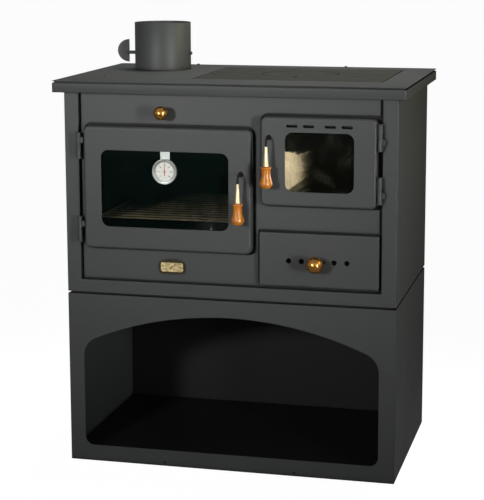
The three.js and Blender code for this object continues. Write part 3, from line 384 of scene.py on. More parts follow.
# %% [markdown]
# ## The log store's arch
# The opening is one long arch that runs into two tight shoulders and square-ish feet. It could
# be drawn as a curve, but a sheet worker would lay it out with a compass, and so do we: a
# block for the straight part, a disc for each shoulder, and one long spin for the arch.

# %% Lay out the arch and fold the front
ARCH_HALF, ARCH_LOW, ARCH_TOP = 329, 36, 343
ARCH_RADIUS, SHOULDER, FOOT = 771, 45, 19
arch_centre = ARCH_TOP - ARCH_RADIUS
shoulder_x = ARCH_HALF - SHOULDER
shoulder_z = arch_centre + math.sqrt((ARCH_RADIUS - SHOULDER) ** 2 - shoulder_x**2)
sweep = math.atan2(shoulder_x, shoulder_z - arch_centre)

low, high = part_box("base_front_panel")
front = block(low, high)
bevel(front, 2.5, 5, lambda a, b: max(a.y, b.y) - low.y < 1e-6 and abs(a.x - b.x) < 1e-6)
carve(front, block(at(-362, 2, -5), at(362, 20, 385)))
print(f"arch of {ARCH_RADIUS} mm over {math.degrees(2 * sweep):.0f} degrees")

# %% Cut the arched front

foot_cut = corners(block(at(-ARCH_HALF, -9, ARCH_LOW), at(ARCH_HALF, 9, shoulder_z + 60)), FOOT)
carve(foot_cut, block(at(-400, -20, shoulder_z), at(400, 20, shoulder_z + 90)))
shoulders = [
    turned([(SHOULDER, -9), (SHOULDER, 9)], "front", at(side * shoulder_x, 0, shoulder_z), 96)
    for side in (-1, 1)
]
rim_middle = 0.88 * ARCH_RADIUS
clear()
bpy.ops.mesh.primitive_plane_add(
    size=1, location=at(-math.sin(sweep) * rim_middle, 0, arch_centre + math.cos(sweep) * rim_middle),
    rotation=(0, -math.pi / 2 - sweep, 0),
)
arch_cut = bpy.context.object
arch_cut.scale = (0.24 * ARCH_RADIUS * MM, 0.018, 1)
settle(arch_cut)
bpy.ops.object.mode_set(mode="EDIT")
bpy.ops.mesh.select_all(action="SELECT")
bpy.ops.mesh.spin(steps=72, angle=-2 * sweep, center=at(0, 0, arch_centre), axis=(0, 1, 0))
bpy.ops.mesh.select_all(action="SELECT")
bpy.ops.mesh.normals_make_consistent(inside=False)
bpy.ops.object.mode_set(mode="OBJECT")
carve(front, foot_cut, *shoulders, arch_cut)
soften(front, 0.5)
place(front, "base_front_panel")
print("arched front", len(front.data.vertices), "points")

# %% [markdown]
# ## The doors
# Each door is a deep pressed panel: the press leaves round corners and a generous rounded rim
# round the face, and its window is punched out with wide corner radii. A block is bevelled
# twice, once for the corners and once for the rim, and hollowed from behind, as the real one is
# hollow there for the seal. Cutting the window last keeps its edge crisp all the way round.

# %% Press the door panels
WALL = 4
DOOR_CORNER, RIM, INNER_CORNER, WINDOW_CORNER = 13, 6, 9, 17


def door(node, window_low, window_high, latch, vents=()):
    """A pressed door panel with its window, the bore of its latch and its air slots."""
    low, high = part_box(node)
    panel = corners(block(low, high), DOOR_CORNER)
    front_edge(panel, RIM)
    hollow = corners(tray(low, high, WALL), INNER_CORNER)
    x0, z0, x1, z1 = *window_low, *window_high
    window = corners(block(at(x0, -30, z0), at(x1, 30, z1)), WINDOW_CORNER, segments=12)
    bore = turned([(5.5, -30), (5.5, 30)], "front", at(latch[0], 0, latch[1]), 32)
    slots = [corners(block(at(x - 12, -30, z - 3), at(x + 12, -5, z + 3)), 2.9) for x, z in vents]
    carve(panel, hollow, window, bore, *slots)
    soften(panel, 0.7, 3, 50)
    return place(panel, node)


oven_latch, fire_latch = (33, 659), (94, 739.5)
door("oven_door_panel", (-277, 536), (6, 702.5), oven_latch)
vents = [(201.25 + across, 764.5) for across in (-58.4, -23, 23, 58.4)]
door("fire_door_panel", (128, 626), (274.5, 751.5), fire_latch, vents)
print("door panels:", [len(piece.data.polygons) for piece in made[-2:]], "faces")

# %% [markdown]
# ## Hinges
# A weld-on hinge is two turned barrels with a collar at each end, on a pin fixed in the lower
# one, and a small tab on each barrel for the weld. The barrels are turned with their chamfers,
# because the eye reads those thin rings of light as "hinge" even at a few pixels.

# %% Turn the hinges
AXIS_OUT, BARREL, COLLAR, PIN = -12, 5.2, 6, 3
HINGE_X, PILLAR_X = 328, 338
LOWER_TAB, UPPER_TAB, TAB_HALF = -10.25, 12.25, 6  # heights from the hinge's middle


def hinge_half(node, middle, side, lower):
    """One half of a hinge: a barrel with its collar and the tab that is welded on."""
    low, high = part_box(node)
    centre = at(side * HINGE_X, AXIS_OUT, 0)
    if lower:
        profile = [(COLLAR - 0.6, middle - 28.5), (COLLAR, middle - 27.9), (COLLAR, middle - 26.1),
                   (COLLAR - 0.6, middle - 25.5), (BARREL, middle - 25.5), (BARREL, middle - 0.8),
                   (BARREL - 0.6, middle - 0.2), (PIN, middle - 0.2), (PIN, middle + 21)]
    else:
        profile = [(PIN + 0.4, middle + 0.2), (BARREL - 0.6, middle + 0.2), (BARREL, middle + 0.8),
                   (BARREL, middle + 25.5), (COLLAR - 0.6, middle + 25.5), (COLLAR, middle + 26.1),
                   (COLLAR, middle + 27.9), (COLLAR - 0.6, middle + 28.5), (0.5, middle + 28.7),
                   (0.5, middle + 25.3), (PIN + 0.4, middle + 25.3), (PIN + 0.4, middle + 0.2)]
    barrel = turned(profile, "up", centre, 32)
    if lower:
        ends, depth = (centre.x, side * PILLAR_X * MM), (centre.y + 0.001, FRONT - 0.0003)
    else:
        door_side = low.x if side > 0 else high.x
        ends = (door_side, side * (HINGE_X - 4.4) * MM)
        depth = (centre.y - 0.002, centre.y + 0.004)
    tab_z = middle + (LOWER_TAB if lower else UPPER_TAB)
    tab_low = Vector((min(ends), depth[0], (tab_z - TAB_HALF) * MM))
    tab_high = Vector((max(ends), depth[1], (tab_z + TAB_HALF) * MM))
    ease = min(1.5, 0.35 * (tab_high.x - tab_low.x) / MM)
    tab = corners(block(tab_low, tab_high), ease, along=1, segments=4)
    unite(barrel, tab)
    soften(barrel, 0.25, 2, 50)
    return place(barrel, node)


for name, middle, side in (("oven_upper", 710, -1), ("oven_lower", 527, -1),
                           ("fire_upper", 744.5, 1), ("fire_lower", 633.5, 1)):
    hinge_half(name + "_hinge_on_frame", middle, side, True)
    hinge_half(name + "_hinge_on_door", middle, side, False)
print("hinge halves:", len([piece for piece in made if "hinge" in piece.name]))

# %% [markdown]
# ## Handles
# A bent black rod hangs from each latch. On it sit a polished metal cone and a turned wooden
# grip, which stays cool. The rod is a ring that is extruded, spun round the bend and extruded
# again, just as a bar is bent over a former. The grip is turned from a template with a bead at
# its top, a waist for the fingers and a full belly, then shaded smoothly over its facets.

# %% Bend the rods and turn the grips
ROD, HANG, BEND, DROP = 2.25, -43, 11, 16


def handle(door_name, latch, toward):
    """Rod with spindle and tongue, polished cone and wooden grip of one door."""
    x, z = latch
    clear()
    bpy.ops.mesh.primitive_circle_add(
        vertices=24, radius=ROD * MM, location=at(x, -14, z), rotation=(math.pi / 2, 0, 0)
    )
    bar = settle(bpy.context.object)
    bpy.ops.object.mode_set(mode="EDIT")
    bpy.ops.mesh.select_mode(type="VERT")
    bpy.ops.mesh.select_all(action="SELECT")
    forward = (0, (HANG + BEND + 14) * MM, 0)
    bpy.ops.mesh.extrude_region_move(TRANSFORM_OT_translate={"value": forward})
    bpy.ops.mesh.spin(
        steps=12, angle=-math.pi / 2, center=at(x, HANG + BEND, z - BEND), axis=(1, 0, 0)
    )
    end = (0, 0, -(DROP + 66 - BEND) * MM)
    bpy.ops.mesh.extrude_region_move(TRANSFORM_OT_translate={"value": end})
    close_up()
    spindle = turned([(4.4, -20.6), (5, -20), (5, 14), (3.6, 16.2), (3.4, 17.6), (2.9, 18)],
                     "front", at(x, 0, z), 32)
    tongue_x = sorted((x - toward * 6, x + toward * 18))
    tongue = block(at(tongue_x[0], 16.6, z - 6), at(tongue_x[1], 20.6, z + 6))
    unite(bar, spindle, tongue)
    soften(bar, 0.3, 2, 50)
    place(bar, door_name + "_handle_rod")

    top = z - DROP
    cone = turned([(2.55, top - 41), (5, top - 41), (5.5, top - 40.4), (5.5, top - 38.4),
                   (5.2, top - 37.8), (3.2, top - 5), (3, top - 0.6), (2.8, top), (2.55, top),
                   (2.55, top - 41)], "up", at(x, HANG, 0), 48)
    polish(cone)
    place(cone, door_name + "_handle_ferrule")

    head = top - 41.3
    template = [(2.55, 26), (2.55, 0.3), (8.6, 0), (10.8, 0.7), (11.4, 2.2), (11.2, 4),
                (10.4, 5.2), (10.1, 7), (9.9, 11), (9.75, 16), (9.9, 20), (10.6, 24),
                (11.9, 28), (13.2, 32), (13.95, 35.5), (13.8, 38.5), (12.7, 41), (11.4, 42.4),
                (11, 43.2), (10.2, 44.6), (7.6, 45.6), (3.6, 45.95), (0.4, 46)]
    grip = turned([(radius, head - down) for radius, down in template], "up", at(x, HANG, 0), 40)
    polish(grip, 60)
    place(grip, door_name + "_handle_grip")


handle("oven", oven_latch, 1)
handle("fire", fire_latch, -1)

# %% [markdown]
# ## Ball knobs
# The knobs are cast balls, turned and plated: a foot, a thin neck and the ball. The outline of
# the ball is an arc of small steps, each a ring of the lathe. One template serves both knobs.

# %% Turn the knobs
def knob(node, diameter, stand, foot, seat):
    """A ball on its neck, pointing forward from its seat."""
    radius = diameter / 2
    neck = math.asin(0.62 * foot / radius)
    arc = [neck + (math.pi - 0.05 - neck) * step / 20 for step in range(21)]
    template = [(2.8, 0), (foot - 0.3, 0), (foot, 0.4), (foot, 1.6), (foot - 0.5, 2.1),
                (0.74 * foot, 2.6), (0.62 * foot, 3.4)]
    template += [(radius * math.sin(a), stand - radius * math.cos(a)) for a in arc]
    ball = turned(template, "front", seat, 64)
    polish(ball, 30)
    return place(ball, node)


AIR_X, AIR_Z = 196.5, 476  # middle of the air shutter's slot
knob("draft_knob", 30, 28.7, 5.5, at(-139, 4.7, 785.5))
knob("air_knob", 36, 29.7, 6, at(AIR_X, -6.3, AIR_Z))

# %% [markdown]
# ## The ash drawer
# The drawer front is a shallow folded tray with four air holes and a slot for the knob's neck.
# Behind the holes lies a sliding shutter. The holes are drilled as short cylinders, and their
# edges get a tiny round, which shows as a bright crescent on each hole.

# %% Fold and drill the drawer front
low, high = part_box("ash_drawer_front")
drawer = front_edge(corners(block(low, high), 2.5, segments=5), 2, 4)
holes = [turned([(5.75, -30), (5.75, 30)], "front", at(x, 0, AIR_Z), 32)
         for x in (134, 161.5, 231.5, 259)]
slot = corners(block(at(AIR_X - 16.8, -30, AIR_Z - 4.8), at(AIR_X + 16.8, 30, AIR_Z + 4.8)), 4.7)
carve(drawer, tray(low, high, 2), slot, *holes)
soften(drawer, 0.4, 2, 50)
place(drawer, "ash_drawer_front")
print("drawer front", len(drawer.data.polygons), "faces")

# %% [markdown]
# ## Flue pipe and damper
# The spigot is rolled from 2 mm plate, with a seam at the back, so it is turned as one ring with
# slightly eased edges. The damper's wing is a flat key bent from sheet: a disc squashed to a
# half moon. It turns with the shaft and shows which way the flap inside stands.

# %% Roll the pipe, shape the wing
FLUE_X, FLUE_Y, SHAFT_Z = -238, 326, 887
WING_RADIUS, WING_REACH, WING_RAISED = 26.2, 28, 4.3
pipe = turned([(63, 850.3), (64.6, 850.3), (65, 850.7), (65, 957.4), (64.5, 958), (63.5, 958),
               (63, 957.5), (63, 850.3)], "up", at(FLUE_X, FLUE_Y, 0), 128)
shaft_place = at(FLUE_X, FLUE_Y, SHAFT_Z)
carve(pipe, turned([(4.5, -72), (4.5, 72)], "right", shaft_place, 32))
polish(pipe, 40)
place(pipe, "flue_spigot")

wing_x = FLUE_X - 65 - 17
damper = turned([(3.5, -88), (4, -87.5), (4, 69.5), (3.5, 70)], "right", shaft_place, 32)
flap = turned([(57.6, -1), (58, -0.7), (58, 0.7), (57.6, 1)], "front", shaft_place, 96)
sleeve = turned([(5.2, -50), (5.5, -49.7), (5.5, 49.7), (5.2, 50)], "right", shaft_place, 32)
wing = turned([(WING_RADIUS, -1.5), (WING_RADIUS, 1.5)], "front", Vector(), 96)
wing.scale.x = WING_REACH / WING_RADIUS
wing.location = at(wing_x, FLUE_Y, SHAFT_Z + WING_RAISED)
settle(wing)
carve(wing, block(at(wing_x, FLUE_Y - 9, SHAFT_Z - 60), at(wing_x + 60, FLUE_Y + 9, SHAFT_Z + 60)))
unite(damper, flap, sleeve, wing)
soften(damper, 0.3, 2, 50)
place(damper, "flue_damper")
print("damper spans", [round(c, 3) for c in (damper.bound_box[0][0], damper.bound_box[6][0])])

# %% [markdown]
# ## The cooking lid
# The round lid drops into a step of the cast plate, and a groove lets a lifting tool in. It is
# turned, so its fine chamfer draws the bright ring that is seen on the hob at a low angle.

# %% Turn the lid
lid = turned([(77.6, 842), (78, 842.4), (78, 846.3), (84.6, 846.3), (85, 846.7), (85, 848.2),
              (84.2, 849.3), (83.2, 850)], "up", at(LID_X, LID_Y, 0), 128)
groove = block(at(LID_X - 6, LID_Y - 73, 846), at(LID_X + 6, LID_Y - 51, 856))
carve(lid, corners(groove, 5.9, along=2))
soften(lid, 0.3, 2, 60)
place(lid, "hob_lid")
print("lid", len(lid.data.polygons), "faces")

# %% [markdown]
# ## The badge
# Under the oven door sits a small cast plate with round corners and an arched top. Its rim
# stands proud round a sunk, tarnished ring, and a polished field rises in the middle. The field
# is left bare and gets hammer marks from its material: dents in its bump, and painted light and
# shade in its colour, bright in the middle of each dent and dark at its edge. Rim and ring have
# the same outline at two sizes, so one function makes it: a block with round corners, and on it
# a slice of a disc for the arch. The faces of the field are marked with an attribute that the
# brass reads.

# %% Cast the badge
BADGE_X, BADGE_Z = -126, 449.5
BADGE_WIDTH, BADGE_HEIGHT, BADGE_ARCH, BADGE_CORNER = 59, 32, 5, 9


def badge_form(inset, front_y, back_y):
    """The badge's outline as a solid, drawn in by some millimetres."""
    half = BADGE_WIDTH / 2 - inset
    crown = BADGE_Z + BADGE_HEIGHT / 2 - inset
    radius = BADGE_CORNER - inset
    low = at(BADGE_X - half, front_y, BADGE_Z - BADGE_HEIGHT / 2 + inset)
    form = corners(block(low, at(BADGE_X + half, back_y, crown - BADGE_ARCH)), radius)
    across, drop = half - radius / 2, BADGE_ARCH + 0.134 * radius
    arch = (across**2 + drop**2) / (2 * drop)
    disc = turned([(arch, -back_y), (arch, -front_y)], "front", at(BADGE_X, 0, crown - arch), 160)
    slice_low = at(BADGE_X - across, front_y - 2, BADGE_Z)
    keep = block(slice_low, at(BADGE_X + across, back_y + 2, crown + 2))
    modify(disc, "BOOLEAN", operation="INTERSECT", solver="EXACT", object=keep)
    bpy.data.objects.remove(keep)
    return unite(form, disc)


badge_front, badge_back = 5.3, 7.7
badge = badge_form(0, badge_front, badge_back)
carve(badge, badge_form(2, badge_front - 1, badge_front + 1))
field_low = at(BADGE_X - 25, badge_front, BADGE_Z - 11.6)
field_high = at(BADGE_X + 25, badge_back - 0.3, BADGE_Z + 8.4)
unite(badge, corners(block(field_low, field_high), 4.5))
soften(badge, 0.3, 3, 40)
polished = badge.data.attributes.new("polished", "FLOAT", "FACE")
for face in badge.data.polygons:
    spots = [badge.data.vertices[index].co for index in face.vertices]
    within = all(abs(spot.x / MM - BADGE_X) < 25.1 for spot in spots)
    level_with = all(abs(spot.z / MM - BADGE_Z + 1.6) < 10.1 for spot in spots)
    polished.data[face.index].value = float(within and level_with and face.normal.y < -0.3)
place(badge, "badge_plate")
print("badge", len(badge.data.polygons), "faces")

# %% [markdown]
# ## The oven thermometer
# A bimetal thermometer is a drawn steel case with a rolled rim round a printed dial. It hangs
# from a bent strap over the window. Rings of different height in the turned case give its
# bright rim and the dark line inside it. The dial gets plain marks and numbers: each mark is
# one small block, turned round the centre, and each number is text that is made a mesh.

# %% Turn the case, print the dial
GAUGE_X, GAUGE_Z = -134.5, 659.5
case_back = (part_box("thermometer_case")[1].y - FRONT) / MM
profile = [(26.4, 0), (27, 0), (27.5, 0.6), (27.5, 4.9), (27.2, 5.8), (26.6, 6.4), (26, 6.5),
           (25.3, 6.3), (24.9, 5.7), (24.7, 4.9), (24.5, 4), (24, 3.7), (22.5, 3.6), (22.5, 2)]
case = turned([(radius, height - case_back) for radius, height in profile], "front",
              at(GAUGE_X, 0, GAUGE_Z), 96)
polish(case, 30)
place(case, "thermometer_case")

dial_front = (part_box("thermometer_dial")[0].y - FRONT) / MM
dial = turned([(21.6, -dial_front - 0.8), (22, -dial_front - 0.7), (22, -dial_front - 0.1),
               (21.9, -dial_front)], "front", at(GAUGE_X, 0, GAUGE_Z), 96)
polish(dial, 30)
place(dial, "thermometer_dial")

print("gauge dial at", round(dial_front, 2), "mm")

# %% Round the strap, taper the needle
strap_low, strap_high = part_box("thermometer_strap")
strap = corners(block(strap_low, strap_high), 1.2, along=1, segments=4)
soften(strap, 0.15, 2, 50)
place(strap, "thermometer_strap")

needle_low, needle_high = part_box("thermometer_needle")
needle_y = (needle_low.y + needle_high.y) / 2
needle = block(Vector(((GAUGE_X - 1) * MM, needle_y - 0.0003, (GAUGE_Z - 8.5) * MM)),
               Vector(((GAUGE_X + 1) * MM, needle_y + 0.0003, (GAUGE_Z + 17) * MM)))
pick(needle, "FACE", lambda centre, normal: normal.z > 0.5)
bpy.ops.transform.resize(value=(0.3, 1, 1), center_override=at(GAUGE_X, 0, GAUGE_Z + 17))
bpy.ops.object.mode_set(mode="OBJECT")
hub = turned([(2, -dial_front + 0.3), (2.2, -dial_front + 0.45), (2.2, -dial_front + 1.3),
              (1.4, -dial_front + 1.6)], "front", at(GAUGE_X, 0, GAUGE_Z), 32)
unite(needle, hub)
soften(needle, 0.08, 2, 50)
place(needle, "thermometer_needle")
print("needle", len(needle.data.polygons), "faces")

# %% Marks and numbers on the dial
MARK_OUT, MARK_LENGTH, MARK_HALF, INK = 20.6, 2.4, 0.25, 0.06
NUMBER_RADIUS, NUMBER_SIZE = 13.6, 0.0036
# The dark ring at the dial's edge is partly print and partly painted shade: it draws the line where
# the case's rim shades the dial.
ring = [(20.9, -dial_front), (21.8, -dial_front), (21.8, -dial_front + INK),
        (20.9, -dial_front + INK), (20.9, -dial_front)]
marks = [turned(ring, "front", at(GAUGE_X, 0, GAUGE_Z), 96)]
for step in range(31):
    grow = 1.6 if step % 5 == 0 else 1
    mark = block(at(-MARK_HALF * grow, dial_front - INK, MARK_OUT - MARK_LENGTH * grow) - at(0, 0, 0),
                 at(MARK_HALF * grow, dial_front + 0.05, MARK_OUT) - at(0, 0, 0))
    mark.rotation_euler.y = math.radians(-135 + 9 * step)
    mark.location = at(GAUGE_X, 0, GAUGE_Z)
    marks.append(settle(mark))
for step in range(7):
    angle = math.radians(-135 + 45 * step)
    clear()
    bpy.ops.object.text_add(
        location=at(GAUGE_X + NUMBER_RADIUS * math.sin(angle), dial_front - 0.05,
                    GAUGE_Z + NUMBER_RADIUS * math.cos(angle) - 1.4),
        rotation=(math.pi / 2, 0, 0),
    )
    number = bpy.context.object
    number.data.body = str(50 * step)
    number.data.size = NUMBER_SIZE
    number.data.align_x = "CENTER"
    number.data.extrude = 0.00003
    bpy.ops.object.convert(target="MESH")
    marks.append(settle(bpy.context.object))
print(len(marks), "marks and numbers")

# %% Join the dial's print
only(marks[0])
for mark in marks:
    mark.select_set(True)
bpy.ops.object.join()
dial_print = bpy.context.object
bpy.ops.object.mode_set(mode="EDIT")
bpy.ops.mesh.select_all(action="SELECT")
bpy.ops.mesh.remove_doubles(threshold=2e-6)
bpy.ops.object.mode_set(mode="OBJECT")
dial_print.name = dial_print.data.name = "thermometer_dial_print"
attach(dial_print, "oven_door")
made.append(dial_print)
print("dial print", len(dial_print.data.polygons), "faces")

# %% [markdown]
# ## The oven rack
# The rack is bright wire: one frame wire round the edge and thin cross wires. Only a few glints
# of it show through the dark glass, so each wire is turned in its own place and all are welded
# into one.

# %% Lay the rack's wires
RAIL, CROSS, CROSS_COUNT = 2.5, 1.9, 13  # two radii, and how many cross wires
rack_low, rack_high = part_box("oven_rack")
middle_x, middle_y, middle_z = ((a + b) / 2 for a, b in zip(rack_low, rack_high))
width, depth, _ = ((b - a) / MM for a, b in zip(rack_low, rack_high))
rail_ends = [(RAIL - 0.5, -depth / 2), (RAIL, -depth / 2 + 0.6), (RAIL, depth / 2 - 0.6),
             (RAIL - 0.5, depth / 2)]
wires = [turned(rail_ends, "front", Vector((x, middle_y, middle_z)), 20)
         for x in (rack_low.x + RAIL * MM, rack_high.x - RAIL * MM)]
cross_ends = [(CROSS, -width / 2 + RAIL), (CROSS, width / 2 - RAIL)]
span_y = rack_high.y - rack_low.y - 2 * RAIL * MM
for step in range(CROSS_COUNT):
    y = rack_low.y + RAIL * MM + span_y * step / (CROSS_COUNT - 1)
    wires.append(turned(cross_ends, "right", Vector((middle_x, y, middle_z)), 16))
rack = unite(*wires)
polish(rack, 50)
place(rack, "oven_rack")
print("rack", len(rack.data.polygons), "faces")

# %% [markdown]
# ## Screws
# A few self-tapping screws show: two hold the floor pan to the base's front, one shows in the
# log store's corner, and two pan heads stand at the back edge of the hob. Each head is turned
# on its own, with a domed top.

# %% Turn the screw heads and set them
def screw(name, spot, axis, body, size=2.6):
    """A domed screw head, on a surface."""
    k = size / 2.6
    head = turned([(2.3 * k, 0), (2.6 * k, 0.3 * k), (2.5 * k, 0.9 * k), (2.0 * k, 1.5 * k),
                   (1.2 * k, 1.85 * k), (0.5 * k, 1.95 * k)], axis, spot, 32)
    polish(head, 60)
    head.name = head.data.name = name
    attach(head, body)
    made.append(head)
    return head


screw("base_screw_left", at(-146, 0, 8), "front", "root")
screw("base_screw_right", at(146, 0, 8), "front", "root")
screw("store_screw", at(-353, 444.6, 35), "front", "root", 3)
screw("hob_screw_left", at(-188, 453, 850), "up", "root", 3.4)
screw("hob_screw_right", at(171, 453, 850), "up", "root", 3.4)
screw("hob_rivet", at(-302, 91, 850), "up", "root", 1.8)
print("screws set:", 6)

# %% [markdown]
# ## How the finishes are made
# Every finish below is named for the real one and built from nodes alone. Colours are written
# as the hex values one would pick from a paint card, and one function turns them into the
# linear light that the renderer adds up. Patterns read Object coordinates, in metres, so a
# pattern of 2 mm is a noise of scale 1 / 0.002: its size on the stove is always known.


# %% Colours and nodes
def tone(code):
    """A hex colour from a paint card as linear light."""
    parts = [int(code[i:i + 2], 16) / 255 for i in (1, 3, 5)]
    return [c / 12.92 if c <= 0.04045 else ((c + 0.055) / 1.055) ** 2.4 for c in parts] + [1]


def connect(material, node, inputs):
    """Links outputs to a node's inputs, or sets the inputs to plain values."""
    for name, value in inputs.items():
        if isinstance(value, bpy.types.NodeSocket):
            material.node_tree.links.new(value, node.inputs[name])
        else:
            node.inputs[name].default_value = value


def add(material, kind, inputs=None, **settings):
    """Adds a shader node with its settings, and its inputs as values or links."""
    node = material.node_tree.nodes.new("ShaderNode" + kind)
    for name, value in settings.items():
        setattr(node, name, value)
    connect(material, node, inputs or {})
    return node


def finish(name):
    """An empty material with its main shader linked up, and its Object coordinates."""
    material = bpy.data.materials.new(name)
    material.use_nodes = True
    material.node_tree.nodes.clear()
    shader = add(material, "BsdfPrincipled")
    add(material, "OutputMaterial", {"Surface": shader.outputs["BSDF"]})
    return material, shader, add(material, "TexCoord").outputs["Object"]


print("tone of #808080:", round(tone("#808080")[0], 3))


# %% Patterns and sums
def noise(material, spot, size, detail, **inputs):
    """Clouds about this many millimetres across."""
    inputs = {"Vector": spot, "Scale": 1000 / size, "Detail": detail, **inputs}
    return add(material, "TexNoise", inputs).outputs["Fac"]


def cells(material, spot, size, randomness=1.0, **settings):
    """How far a point lies from the middle of its cell, for cells of this many millimetres."""
    inputs = {"Vector": spot, "Scale": 1000 / size, "Randomness": randomness}
    return add(material, "TexVoronoi", inputs, **settings).outputs["Distance"]


def stretched(material, spot, size):
    """Coordinates for a pattern of a different size, in millimetres, along each axis."""
    scale = [1000 / length for length in size]
    return add(material, "Mapping", {"Vector": spot, "Scale": scale}).outputs["Vector"]


def span(material, value, start, end, low=0.0, high=1.0):
    """Maps a value from one range to another, and stops at the range's ends."""
    return add(material, "MapRange", {"Value": value, "From Min": start, "From Max": end,
                                      "To Min": low, "To Max": high}).outputs["Result"]


def blend(material, factor, low, high):
    """A mix of two colours, each a hex value or a node's output."""
    low, high = (tone(colour) if isinstance(colour, str) else colour for colour in (low, high))
    inputs = {"Factor": factor, 6: low, 7: high}
    return add(material, "Mix", inputs, data_type="RGBA").outputs[2]


def work_out(material, operation, *values):
    """The result of one sum."""
    return add(material, "Math", dict(enumerate(values)), operation=operation).outputs["Value"]


def dim(material, colour, factor):
    """A colour times a factor."""
    return add(material, "VectorMath", {0: colour, 1: factor}, operation="MULTIPLY").outputs["Vector"]


def emboss(material, shader, height, strength, depth, **settings):
    """Gives the shader a bump of this depth in millimetres."""
    inputs = {"Strength": strength, "Distance": depth * MM, "Height": height}
    bump = add(material, "Bump", inputs, **settings)
    connect(material, shader, {"Normal": bump.outputs["Normal"]})


finishes = {}
print("a pattern of 2 mm has scale", 1000 / 2)

# %% [markdown]
# ## Heat-resistant stove paint
# The body is sprayed with a silicone paint that survives the heat. It dries to a satin, faintly
# grainy skin: no mirror images, but soft wide highlights. Two noises do that. A large one
# shifts the tone by a few percent, as spraying does, and a fine one makes the grain in the bump
# and the roughness. The real grain is near 0.3 mm, too fine for this picture, so it is drawn
# at about 1.5 mm. The paint is also darkened wherever another surface stands within a few
# millimetres: this is painted shade in the narrow joints round doors and plates.


# %% Satin silicone stove paint
def stove_paint(name, code, dark_code, roughness, grain=1.5):
    """Sprayed heat-resistant paint."""
    material, shader, spot = finish(name)
    cloud = noise(material, spot, 120, 3)
    speckle = noise(material, spot, grain, 2)
    # Painted shade: an occlusion node darkens the colour, down to 3 percent, wherever another surface
    # stands within 12 mm.
    nook = add(material, "AmbientOcclusion", {"Distance": 12 * MM}, samples=6).outputs["AO"]
    painted_crevice_shade = span(material, nook, 0.35, 0.9, 0.03, 1.0)
    grain_and_painted_shade = work_out(material, "MULTIPLY", span(material, speckle, 0.3, 0.7, 0.92, 1.08), painted_crevice_shade)
    connect(material, shader, {
        "Base Color": dim(material, blend(material, cloud, dark_code, code), grain_and_painted_shade),
        "Roughness": span(material, cloud, 0.3, 0.7, roughness - 0.03, roughness + 0.03),
        "Specular IOR Level": 0.35,
    })
    emboss(material, shader, speckle, 0.08, 0.3)
    return material


finishes["casing_paint"] = stove_paint("satin_silicone_stove_paint", "#484b4a", "#424443", 0.5)
finishes["dark_paint"] = stove_paint("matt_black_stove_paint", "#151514", "#101010", 0.6)
print("paints:", finishes["casing_paint"].name, finishes["dark_paint"].name)

# %% [markdown]
# ## Cast iron, enamel and firebrick
# The cooking plate is ground and blacked cast iron: darker than the paint, with a mottled oily
# look and fine pits. The oven is lined with smooth vitreous enamel. The firebricks are pressed
# vermiculite, a pale board full of gold flakes, which shows as a coarse speckle. Flakes are a
# cell pattern, because each flake is one flat patch of its own tone.

# %% Blacked cast iron
iron, shader, spot = finish("blacked_cast_iron")
patches = noise(iron, spot, 35, 6, Roughness=0.6)
connect(iron, shader, {
    "Base Color": blend(iron, patches, "#2a2c25", "#3a3c33"),
    "Roughness": span(iron, patches, 0.3, 0.7, 0.56, 0.44),
    "Metallic": 0.2,
    "Specular IOR Level": 0.3,
})
emboss(iron, shader, noise(iron, spot, 1.2, 3), 0.25, 0.5)
finishes["cast_iron"] = iron
print(iron.name, "made")

# %% Vitreous oven enamel
enamel, shader, spot = finish("black_vitreous_enamel")
flecks = span(enamel, cells(enamel, spot, 12), 0.08, 0.12, 1.0, 0.0)
connect(enamel, shader, {
    "Base Color": blend(enamel, flecks, "#141616", "#6f7370"),
    "Roughness": 0.22,
    "Coat Weight": 0.5,
})
emboss(enamel, shader, noise(enamel, spot, 20, 2), 0.08, 1)
finishes["oven_enamel"] = enamel
print(enamel.name, "made")

# %% Vermiculite firebrick
brick, shader, spot = finish("vermiculite_firebrick")
flakes = cells(brick, spot, 3.5)
stain = span(brick, noise(brick, spot, 30, 4), 0.35, 0.7, 0.0, 0.2)
pale = blend(brick, flakes, "#e6dcc0", "#b9ac8c")
connect(brick, shader, {"Base Color": blend(brick, stain, pale, "#6b6450"), "Roughness": 0.95})
emboss(brick, shader, flakes, 0.5, 1.5)
finishes["firebrick"] = brick
print("finishes so far:", len(finishes))

# %% [markdown]
# ## Sooted stove glass
# Ceramic stove glass is clear, but the chamber behind it is dark and a film of soot clouds it.
# A refracting glass would keep the lamps' light out of the chamber, so the pane is a thin one:
# the shader's alpha lets light straight through where the pane is clean and holds it back
# where the film lies. The soot is clouds of noise with a fine speckle. The oven's pane has a dark
# haze that thickens towards the top, and its faint green clouds are a painted reflection. The
# firebox's pane is clean near the handle and sooted olive towards the hinges, where no draught
# sweeps it. Both panes share the material, which reads from the X coordinate on which of them it is.

# %% Where the soot lies
glass, shader, spot = finish("sooted_ceramic_glass")
clouds = noise(glass, spot, 50, 6, Roughness=0.62, Distortion=0.5)
position = add(glass, "SeparateXYZ", {"Vector": spot}).outputs
of_firebox = span(glass, position["X"], 0.05, 0.1)
# The oven's haze thickens towards the top.
denser_towards_top = span(glass, position["Z"], 0.56, 0.66, 0.45, 0.86)
veil = add(glass, "Mix", {0: of_firebox, 2: denser_towards_top, 3: 0.06}).outputs[0]
haze = work_out(glass, "ADD", veil, span(glass, clouds, 0.3, 0.7, -0.1, 0.12))
drift = span(glass, clouds, 0.3, 0.7, -0.014, 0.014)
sideways = span(glass, work_out(glass, "ADD", position["X"], drift), 0.158, 0.185)
upward = span(glass, work_out(glass, "MULTIPLY_ADD", drift, 0.9, position["Z"]), 0.708, 0.714)
deposit = work_out(glass, "MAXIMUM", sideways, upward)
film = work_out(glass, "MAXIMUM", haze, deposit)
print("soot:", len(glass.node_tree.nodes), "nodes")
